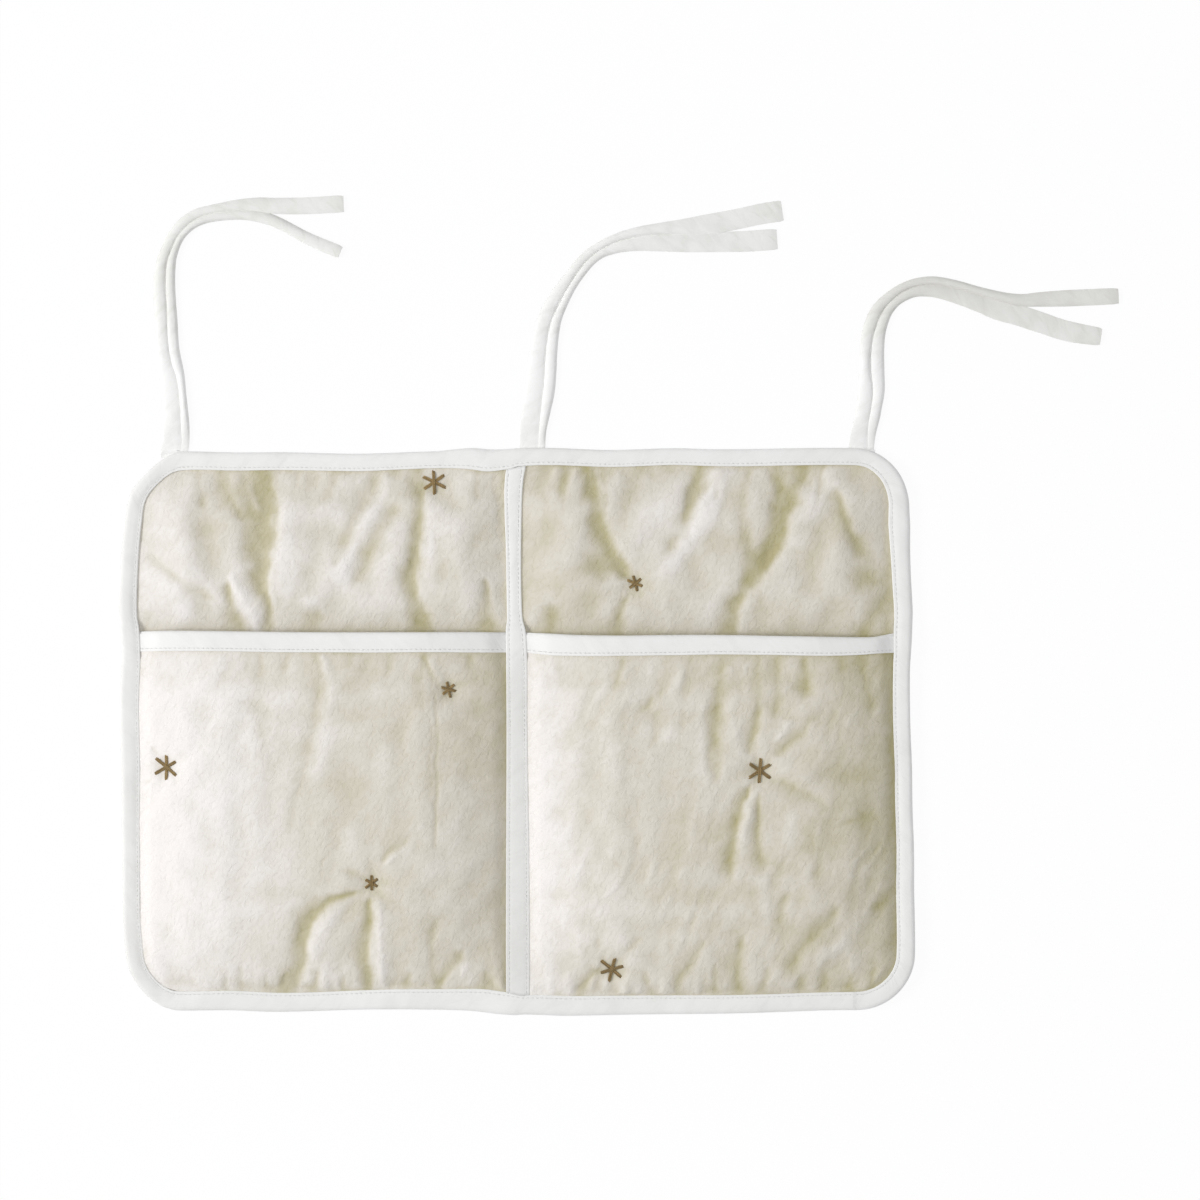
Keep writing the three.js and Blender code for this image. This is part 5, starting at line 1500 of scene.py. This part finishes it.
class ORGANIZER_OT_stage(bpy.types.Operator):
    """Sets up the floor, the soft light and the camera straight above"""

    bl_idname = "organizer.stage"
    bl_label = "Stage"

    def execute(self, context):
        look = context.scene.organizer.stage
        self.camera(context, look)
        self.lamps(context, look)
        self.world(context, look)
        self.floor(context)
        context.scene.view_settings.view_transform = "Standard"
        return {"FINISHED"}

    def camera(self, context, look):
        """The camera takes in the photograph's width at the height of the cloth."""
        data = bpy.data.cameras.new("Camera")
        data.lens, data.sensor_width = look.lens, SENSOR
        data.clip_start, data.clip_end = 0.05, 20
        camera = bpy.data.objects.new("Camera", data)
        context.scene.collection.objects.link(camera)
        x, y = UNDER_CAMERA
        camera.location = (x * MM, y * MM, PHOTO_WIDTH * look.lens / SENSOR + CAMERA_LEVEL)
        context.scene.camera = camera

    def lamps(self, context, look):
        for name, place, size, power in (
            ("Side light", (-3.4, 0.1, 2.4), 1.6, look.key_power),
            ("Top light", (0.2, 0.1, 3.0), 1.8, look.key_power * 0.17),
        ):
            data = bpy.data.lights.new(name, "AREA")
            data.shape, data.size, data.energy = "DISK", size, power
            lamp = bpy.data.objects.new(name, data)
            context.scene.collection.objects.link(lamp)
            lamp.location = place
            lamp.rotation_euler = (-Vector(place)).to_track_quat("-Z", "Y").to_euler()

    def world(self, context, look):
        """Even light all round, under a sky that the camera sees as white."""
        world = bpy.data.worlds.new("Even light")
        world.use_nodes = True
        tree = world.node_tree
        tree.nodes.clear()
        ray = node(tree, "ShaderNodeLightPath").outputs
        seen = maths(tree, "MAXIMUM", ray["Is Camera Ray"], ray["Is Glossy Ray"])
        seen = maths(tree, "MAXIMUM", seen, ray["Is Transmission Ray"])
        even = node(tree, "ShaderNodeBackground", Color=(0.97, 0.985, 1, 1), Strength=look.sky)
        white = node(tree, "ShaderNodeBackground", Color=(1, 1, 1, 1), Strength=1.0)
        both = node(tree, "ShaderNodeMixShader", i0=seen, i1=even.outputs[0], i2=white.outputs[0])
        node(tree, "ShaderNodeOutputWorld", Surface=both.outputs[0])
        context.scene.world = world

    def floor(self, context):
        bpy.ops.object.select_all(action="DESELECT")
        bpy.ops.mesh.primitive_plane_add(size=9, location=(0, 0, -0.0004))
        floor = context.active_object
        floor.name = "Floor"
        bpy.ops.object.transform_apply(location=True)
        made, tree = tree_of("Pale floor")
        ray = node(tree, "ShaderNodeLightPath").outputs
        grain = noise(tree, node(tree, "ShaderNodeTexCoord").outputs["Object"], 30.0, 2.0, "3D")
        pale = blend_colour(tree, "MIX", grain, (0.92, 0.92, 0.92, 1), (0.94, 0.94, 0.94, 1))
        matt = node(tree, "ShaderNodeBsdfPrincipled", Base_Color=pale, Roughness=0.9)
        glow = node(tree, "ShaderNodeEmission", Color=(1, 1, 1, 1), Strength=1.0)
        seen = maths(tree, "MULTIPLY", ray["Is Camera Ray"], 0.93)
        both = node(tree, "ShaderNodeMixShader", i0=seen, i1=matt.outputs[0], i2=glow.outputs[0])
        node(tree, "ShaderNodeOutputMaterial", Surface=both.outputs[0])
        floor.data.materials.append(made)


class ORGANIZER_OT_ties(bpy.types.Operator):
    """Lays the six ties, each one limp tape from the top edge"""

    bl_idname = "organizer.ties"
    bl_label = "Ties"

    def execute(self, context):
        look = context.scene.organizer.ties
        for seed, ((pair, which), route) in enumerate(TIE_ROUTES.items()):
            self.tie(pair, which, route, look, 200 + 10 * seed)
        return {"FINISHED"}

    def tie(self, pair, which, route, look, seed):
        name, place, gather = f"tie_{pair}_{which}", TIE_PLACES[pair], TAIL_GATHER[which]
        line = smooth_line(route, TIE_POINTS)
        thick = look.thickness / MM / 2
        half = look.width / MM / 2
        open_at = gather + (1 - gather) * ease(line[:, 1] / GATHER_REACH)
        level = (0.5 + LEANING) * CURL * half * open_at * np.sin(np.radians(line[:, 2])) + thick
        whole = self.with_tail(line, level)
        piece = self.tape(name, place, whole, half, gather, thick, seed, TURNED_PAINTED_SHADE[pair])
        dress(piece, "white_tape", name)
        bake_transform(piece)

    def with_tail(self, line, level):
        """The route's places, turns and heights, begun inside the seam, where the tape lies flatter."""
        tail = []
        for up in (-5.0, -4.2, -3.4, -2.6, -1.8, -1.0):
            share = float(ease((up + 5) / 5))
            tail.append((line[0, 0], up, line[0, 2] * share, 3.0 + (level[0] - 3.0) * share))
        return np.vstack([tail, np.column_stack([line, level])])

    def tape(self, name, place, line, half, gather, thick, seed, duller):
        """One tape along its line: folded together in the seam, then open, and curled where it turns up."""
        step = np.gradient(line[:, :2], axis=0)
        step[line[:, 1] <= 0] = (0, 1)
        run = step / np.linalg.norm(step, axis=1, keepdims=True)
        along = np.concatenate([[0], np.cumsum(np.linalg.norm(np.diff(line[:, :2], axis=0), axis=1))])
        opened = ease(line[:, 1] / GATHER_REACH)
        half = half * (gather + (1 - gather) * opened)
        half = half * (1 + 0.03 * ruffle(along, 0, 24.0, seed) * ease(along / 20))
        turn = np.radians(line[:, 2] + 3 * ruffle(along, 5, 20.0, seed + 1) * ease(along / 20))
        section = self.section(thick)
        share, raised = section[None, :, 0], section[None, :, 1]
        flatter = (1 - 0.55 * ease((along - along[-1] + 45) / 40)) * (0.3 + 0.7 * opened)
        arch = (CURL * flatter * half * np.sin(turn))[:, None]
        reach = (half * np.cos(turn) + 0.9 * np.sin(turn))[:, None]
        left = (along[-1] - along)[:, None]
        raised = raised * (0.1 + 0.9 * ease(left / 4))
        slope = np.arctan2(2.6 * arch * np.abs(share) ** 1.6 * np.sign(share), reach)
        across = share * reach * (0.93 + 0.07 * ease(left / 1.2)) + raised * np.sin(slope)
        up = arch * (0.5 - np.abs(share) ** 2.6) + LEANING * arch * share + raised * np.cos(slope)
        up = up + 0.16 * ruffle(along[:, None], 6 * share, 7.0, seed + 3) * ease(along / 12)[:, None]
        x = place + line[:, :1] + run[:, 1:] * across
        y = TIE_ROOT_Y + line[:, 1:2] - run[:, :1] * across
        rings = np.stack([x, y, np.maximum(line[:, 3:4] + up, 0.02)], axis=2)
        close = rings[-1:] + 0.06 * (rings[-2:-1] - rings[-1:])
        rings = np.concatenate([rings[:-1], close, rings[-1:]])
        # Painted shade where the tape is turned up, by its pair's amount, on a duller colour that grows past
        # its first 45 millimetres
        dull = clamp01(0.5 + duller * np.sin(turn)) * ease((along - 45) / 60)
        along = np.append(along, along[-1] + 0.1)
        return strip_piece(name, rings, along, False, shade=np.append(dull, dull[-1]))

    def section(self, thick):
        """A flat tape with rounded edges and a line of stitches near one of them."""
        top = [(-1, 0.5), (-0.997, 0.66), (-0.985, 0.74), (-0.93, 0.8), (-0.8, 0.88), (-0.5, 1.02), (0, 1.1)]
        top += [(0.5, 1.02), (0.66, 0.96), (0.73, 0.86), (0.8, 0.86), (0.93, 0.8), (0.985, 0.74)]
        top += [(0.997, 0.66), (1, 0.5)]
        low = [(1, -0.5), (0.99, -0.7), (0.93, -0.8), (0.4, -0.96)]
        low += [(-u, v) for u, v in reversed(low)]
        return np.array([(u, v * thick) for u, v in top + low])


class ORGANIZER_OT_tie_roots(bpy.types.Operator):
    """Makes the folded tails of tape that hold each pair of ties in the top seam"""

    bl_idname = "organizer.tie_roots"
    bl_label = "Tie roots"

    def execute(self, context):
        for pair in TIE_PLACES:
            name = "tie_root_" + pair
            low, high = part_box(name)
            bpy.ops.object.select_all(action="DESELECT")
            bpy.ops.mesh.primitive_cube_add(size=1, location=tuple((low + high) / 2))
            piece = context.active_object
            piece.name = piece.data.name = name + "_tails"
            piece.scale = tuple(high - low)
            bpy.ops.object.transform_apply(location=True, scale=True)
            bpy.ops.object.mode_set(mode="EDIT")
            bpy.ops.mesh.select_all(action="SELECT")
            bpy.ops.mesh.bevel(offset=0.0004, segments=2)
            bpy.ops.mesh.subdivide(number_cuts=1)
            bpy.ops.object.mode_set(mode="OBJECT")
            self.wrap(piece.data)
            bpy.ops.object.shade_smooth_by_angle(angle=math.radians(40))
            dress_panel(piece, "white_tape", name)
        return {"FINISHED"}

    def wrap(self, mesh):
        """Gives the mesh the cloth's flat coordinates, and moves it with the sewn panel."""
        co = np.zeros(len(mesh.vertices) * 3)
        mesh.vertices.foreach_get("co", co)
        co = co.reshape(-1, 3)
        x, y = sewn(co[:, 0] / MM, co[:, 1] / MM)
        mesh.vertices.foreach_set("co", np.column_stack([x * MM, y * MM, co[:, 2]]).ravel())
        lay_flat(mesh, co[:, :2])


class ORGANIZER_OT_back(bpy.types.Operator):
    """Makes the back: face cloth, wadding and lining"""

    bl_idname = "organizer.back"
    bl_label = "Back"

    def execute(self, context):
        points, flat, painted_shade = face_of_back(context.scene.organizer.cloth)
        FACE_TOPS["back"] = points
        face = shell_of_face("back_cloth", points, flat, BACK_TONES_AND_SHADE, 5, grid_normals(points), painted_shade)
        dress_panel(face, "crinkled_cotton", "back_face")
        coarse = resample(flat, *BACK_UNDER)
        x, y = coarse[..., 0], coarse[..., 1]
        lining = lining_level(x, y)
        pulled = 0.7 * sum(near_stars(x, y, stars_on("back"), 60))
        shown = resample(lowest(points[..., 2], 3), *BACK_UNDER)
        lower = np.minimum(lining + COTTON + 0.35 + pulled, shown - 1.2)
        upper = np.maximum(shown - COTTON - 0.3, lower + 0.1)
        pad = dress_panel(pad_shell("back_pad", coarse, lower, upper), "wadding", "back_wadding")
        self.lining(x, y, coarse, lining)
        return {"FINISHED"}

    def lining(self, x, y, flat, level):
        """The plain lining, lying on the table and pulled up slightly at each star and seam."""
        pulled = 0.9 * sum(near_stars(x, y, stars_on("back"), 50))
        pulled += 0.22 * clamp01(ruffle(x, y, 14.0, 71)) * ease(inside_opening(x, y) / 10)
        under = sewn_at(x, y, level + pulled)
        over = under + np.array([0, 0, COTTON * 0.85])
        piece = cloth_shell("back_lining_cloth", over, under, flat)
        dress_panel(piece, "lining_cotton", "back_lining")


class ORGANIZER_OT_edge_binding(bpy.types.Operator):
    """Folds the binding over the rim and sews it down"""

    bl_idname = "organizer.edge_binding"
    bl_label = "Edge binding"

    def execute(self, context):
        path = rim_path(RIM_STEP)
        along = path[:, 4]
        full, reach = binding_waves(along)
        share, lift = lap_over(rim_point(path, BINDING_WIDTH)[1])
        rows = zip(BINDING_WIDTH + reach + LAP_WIDTH * share, EDGE_HEIGHT + lift, full, 1.15 - 0.83 * share)
        sections = np.array([folded_section(w, h, 0.9, f, lip) for w, h, f, lip in rows])
        sections[..., 1] += self.ripples(along[:, None], sections[..., 0]) * (sections[..., 1] > 4)
        x, y = rim_point(path[:, None, :], sections[..., 0])
        rings = sewn_at(x, y, sections[..., 1])
        duller = 0.45 * clamp01(-path[:, 2]) + 0.12 * clamp01(-path[:, 3])
        piece = strip_piece("edge_binding_fold", rings, along, True, shade=duller)
        dress_panel(piece, "white_binding", "edge_binding")
        self.stitches()
        return {"FINISHED"}

    def ripples(self, along, inwards):
        """Bias creases: slanted ripples along the binding."""
        slant = along + 0.9 * inwards
        return 0.2 * ruffle(slant, inwards * 0.6, 11.0, 64) + 0.1 * ruffle(slant, inwards, 4.0, 65)

    def stitches(self):
        fine = rim_path(FINE_RIM_STEP)
        lengths = np.arange(0, fine[-1, 4] - STITCH_PITCH / 2, STITCH_PITCH)
        spots = np.interp(lengths, fine[:, 4], np.arange(len(fine)))
        ends = []
        for place in fine[np.round(spots).astype(int)]:
            share, lift = lap_over(rim_point(place, BINDING_WIDTH)[1])
            inwards = BINDING_WIDTH + binding_waves(place[4])[1] + LAP_WIDTH * share - STITCH_INSET
            level = EDGE_HEIGHT + lift - 0.04 + self.ripples(place[4], inwards)
            ends.append(sewn_stitch(*rim_point(place, inwards), (-place[3], place[2]), level))
        dress_panel(stitch_row("edge_stitches", ends), "white_thread", "edge_stitching")


class ORGANIZER_OT_centre_tape(bpy.types.Operator):
    """Sews the tape down the middle, with a row of stitches along each side"""

    bl_idname = "organizer.centre_tape"
    bl_label = "Middle tape"

    def execute(self, context):
        length = OPENING_TOP - 0.3
        along = np.linspace(-length, length, 150)
        half = [(-1, -1.15), (-1.0, -0.25), (-0.98, -0.1), (-0.9, 0.02), (-0.8, 0.0), (-0.71, -0.14)]
        half += [(-0.62, 0.02), (-0.4, 0.16)]
        outline = half + [(0, 0.22)] + [(-u, v) for u, v in reversed(half)]
        outline = np.array(outline + [(0.93, -1.15), (0.9, -0.95), (-0.9, -0.95), (-0.93, -1.15)])
        across, raised = outline[None, :, 0], outline[None, :, 1]
        share, lift = lap_over(along[:, None])
        x = across * (HALF_TAPE + LAP_WIDTH * share)
        y = np.repeat(along[:, None], len(outline), axis=1)
        wave = (0.14 * ruffle(y, x, 17.0, 81) + 0.07 * ruffle(y, x * 2, 6.0, 82)) * (raised > -0.5)
        level = EDGE_HEIGHT + lift + raised + wave + 0.77 * share * (raised < -1)
        duller = 0.75 * ease((MOUTH_TOP + 10 - along) / 60)
        piece = strip_piece("middle_tape", sewn_at(x, y, level), along + length, False, shade=duller)
        dress_panel(piece, "white_binding", "centre_tape")
        for side in POCKETS:
            self.stitches(side, np.arange(-length + 2, length - 1, STITCH_PITCH))
        return {"FINISHED"}

    def stitches(self, side, middles):
        ends = []
        for y in middles:
            share, lift = lap_over(y)
            x = POCKETS[side].sign * 0.71 * (HALF_TAPE + LAP_WIDTH * share)
            ends.append(sewn_stitch(x, y, (0, 1), EDGE_HEIGHT + lift - 0.02))
        row = stitch_row("middle_stitches_" + side, ends)
        dress_panel(row, "white_thread", "centre_stitching_" + side)


class ORGANIZER_OT_pocket(bpy.types.Operator):
    """Makes one pocket front: face cloth, wadding, lining, bound mouth and its stitches"""

    bl_idname = "organizer.pocket"
    bl_label = "Pocket"

    side: bpy.props.EnumProperty(
        name="Side", description="Which pocket", items=[("left", "Left", ""), ("right", "Right", "")],
    )

    def execute(self, context):
        body = "pocket_" + self.side
        points, flat, painted_shade = face_of_pocket(self.side, context.scene.organizer.cloth)
        FACE_TOPS[self.side] = points
        normals, tones_and_shade = grid_normals(points), POCKETS[self.side].tones_and_shade
        for half, part in halves(points.shape[1]).items():
            face = shell_of_face(f"{body}_cloth_{half}", points, flat, tones_and_shade, 7, normals, painted_shade, part)
            self.sew(face, "crinkled_cotton", "pocket_face_", half)
        coarse = resample(flat, *POCKET_UNDER)
        shown = resample(lowest(points[..., 2], 3), *POCKET_UNDER)
        floor = pocket_floor(coarse[..., 0], coarse[..., 1])
        under = sewn_at(coarse[..., 0], coarse[..., 1], floor)
        over = under + np.array([0, 0, 0.55])
        low = floor + 0.75
        high = np.maximum(shown - COTTON - 0.2, low + 0.06)
        shade = grid_normals(over)
        for half, part in halves(POCKET_UNDER[1]).items():
            grids = [grid[:, part] for grid in (over, under, coarse)]
            lining = cloth_shell(f"{body}_lining_{half}", *grids, None, shade[:, part])
            self.sew(lining, "lining_cotton", "pocket_lining_", half)
            pad = pad_shell(f"{body}_pad_{half}", coarse[:, part], low[:, part], high[:, part])
            self.sew(pad, "wadding", "pocket_wadding_", half)
        self.mouth(body)
        return {"FINISHED"}

    def sew(self, piece, slot, node_name, half):
        """Dresses one half of a piece. The half is not used."""
        dress_pocket(piece, slot, node_name + self.side)

    def mouth(self, body):
        """The mouth's binding, arched with the cloth and pressed flat at both of its ends."""
        sign, seed = POCKETS[self.side].sign, POCKETS[self.side].mouth_seed
        reach = half_width(POCKET_INSET, FACE_TOP)
        x = sign * (POCKET_INNER + np.linspace(0, 1, 121) * (reach - POCKET_INNER))
        if sign < 0:
            x = x[::-1]
        inner, outer, _ = pocket_edges(x, FACE_TOP)
        end = ease(np.minimum(inner, outer) / 15)
        under = pocket_floor(x, FACE_TOP) - 1.2 * end
        height = 2.0 + 2.8 * end
        along = np.abs(x - x[0])
        full = (0.4 + 0.18 * ruffle(along, 0, 21.0, seed)) * (0.3 + 0.7 * end)
        width = MOUTH_WIDTH + 0.2 * ruffle(along, 4, 30.0, seed + 1)
        sections = np.array([folded_section(w, h, 0.6, f, 0.5) for w, h, f in zip(width, height, full)])
        ripple = 0.13 * ruffle(along[:, None] + 0.7 * sections[..., 0], sections[..., 0], 10.0, seed + 2)
        sections[..., 1] += ripple * (sections[..., 1] > height[:, None] * 0.7)
        xs = np.repeat(x[:, None], sections.shape[1], axis=1)
        rings = sewn_at(xs, MOUTH_TOP - sections[..., 0], under[:, None] + sections[..., 1])
        shade = ring_normals(rings)
        for half, part in halves(len(x)).items():
            piece = strip_piece(f"{body}_mouth_{half}", rings[part], along[part], False, shade[part])
            self.sew(piece, "white_binding", "mouth_binding_", half)
            first, last = along[part][0], along[part][-1]
            middles = first + 1.6 + STITCH_PITCH * np.arange(int((last - first) / STITCH_PITCH))
            seats = rings[:, STITCH_POINT] + np.array([0, 0, 0.12])
            ends = [[self.between(s + d, along, seats) for d in (-HALF_STITCH, HALF_STITCH)] for s in middles]
            row = stitch_row(f"{body}_mouth_stitches_{half}", ends)
            self.sew(row, "white_thread", "mouth_stitching_", half)

    def between(self, length, along, places):
        """The place at a length along a line of places."""
        return np.array([np.interp(length, along, places[:, k]) for k in range(3)])


class ORGANIZER_OT_stars(bpy.types.Operator):
    """Embroiders the stars: three crossing stitches each, of thick stranded thread"""

    bl_idname = "organizer.stars"
    bl_label = "Stars"

    def execute(self, context):
        for seed, star in enumerate(STARS):
            self.star(star, 300 + seed)
        return {"FINISHED"}

    def star(self, star, seed):
        name, side, sx, sy, span, turn = star
        dice = np.random.default_rng(seed)
        points, faces, uv, strands = [], [], [], []
        thread = 1.02 if span > LARGE_STAR else 0.88
        for layer, arm in enumerate(dice.permutation(3)):
            angle = math.radians(turn + 90 + 60 * arm + dice.uniform(-6, 6))
            run, across = np.array([(math.cos(angle), math.sin(angle)), (-math.sin(angle), math.cos(angle))])
            ends = 1.16 * span / 2 * (1 + dice.uniform(-0.12, 0.1, 2))
            for ply in (-1, 1):
                middle = np.array([sx, sy]) + across * ply * thread * 0.46
                reach = ends * (1 + dice.uniform(-0.05, 0.05))
                self.ply(side, middle, run, reach, thread, layer, points, faces, uv)
                strands += [dice.uniform(0, 1)] * (len(points) - len(strands))
        piece = face_outwards(mesh_piece(name + "_threads", points, faces, uv, None, {"strand": strands}))
        if side == "back":
            dress_panel(piece, "brown_thread", name)
        else:
            dress_pocket(piece, "brown_thread", name)

    def ply(self, side, middle, run, ends, thread, layer, points, faces, uv):
        """One strand from the cloth, over the middle and back into the cloth."""
        stations, turns = np.linspace(-1, 1, 15), [2 * math.pi * k / 8 for k in range(8)]
        faces += tube_faces(len(stations), len(turns), len(points))
        for t in stations:
            reach = ends[0] if t < 0 else ends[1]
            spot = middle + run * reach * t
            level = height_on(side, *spot)
            edge = 1 - abs(t)
            crossing = layer * 0.42 * math.exp(-((t * reach / 2.2) ** 2))
            lift = thread * (0.5 * ease(edge / 0.25) + crossing)
            sunk = -0.8 * (1 - ease(edge / 0.14))
            radius = thread / 2 * (0.72 + 0.28 * ease(edge / 0.3)) * (1 + 0.06 * math.sin(9 * t + layer))
            base = np.array([spot[0], spot[1], level + lift + sunk])
            for k, a in enumerate(turns):
                beside, above = math.cos(a) * radius * 1.12, math.sin(a) * radius * 0.85
                points.append(base + np.array([-run[1] * beside, run[0] * beside, above]))
                uv.append((k / len(turns) * math.pi * thread, (t + 1) * reach))


class ORGANIZER_PT_panel(bpy.types.Panel):
    """The organizer's pieces and settings"""

    bl_label = "Crib organizer"
    bl_idname = "ORGANIZER_PT_panel"
    bl_space_type = "VIEW_3D"
    bl_region_type = "UI"
    bl_category = "Organizer"

    def draw(self, context):
        layout = self.layout
        look = context.scene.organizer
        for part in ("cloth", "binding", "ties", "stars", "stage"):
            group = getattr(look, part)
            box = layout.box()
            box.label(text=part.capitalize())
            for key in group.__annotations__:
                box.prop(group, key)
        for name in ("stage", "ties", "tie_roots", "back", "edge_binding", "centre_tape", "stars"):
            layout.operator("organizer." + name)
        for side in POCKETS:
            layout.operator("organizer.pocket", text="Pocket " + side).side = side


CLASSES = (
    ClothSettings, BindingSettings, TieSettings, StarSettings, StageSettings, OrganizerSettings,
    ORGANIZER_OT_stage, ORGANIZER_OT_ties, ORGANIZER_OT_tie_roots, ORGANIZER_OT_back,
    ORGANIZER_OT_edge_binding, ORGANIZER_OT_centre_tape, ORGANIZER_OT_pocket, ORGANIZER_OT_stars,
    ORGANIZER_PT_panel,
)


def register():
    for kind in CLASSES:
        bpy.utils.register_class(kind)
    bpy.types.Scene.organizer = bpy.props.PointerProperty(type=OrganizerSettings)


def unregister():
    del bpy.types.Scene.organizer
    for kind in reversed(CLASSES):
        bpy.utils.unregister_class(kind)


def main():
    register()
    bpy.ops.object.select_all(action="DESELECT")
    bpy.ops.organizer.stage()
    bpy.ops.organizer.ties()
    bpy.ops.organizer.tie_roots()
    bpy.ops.organizer.back()
    bpy.ops.organizer.edge_binding()
    bpy.ops.organizer.centre_tape()
    bpy.ops.organizer.pocket(side="left")
    bpy.ops.organizer.pocket(side="right")
    bpy.ops.organizer.stars()


if __name__ == "__main__":
    main()
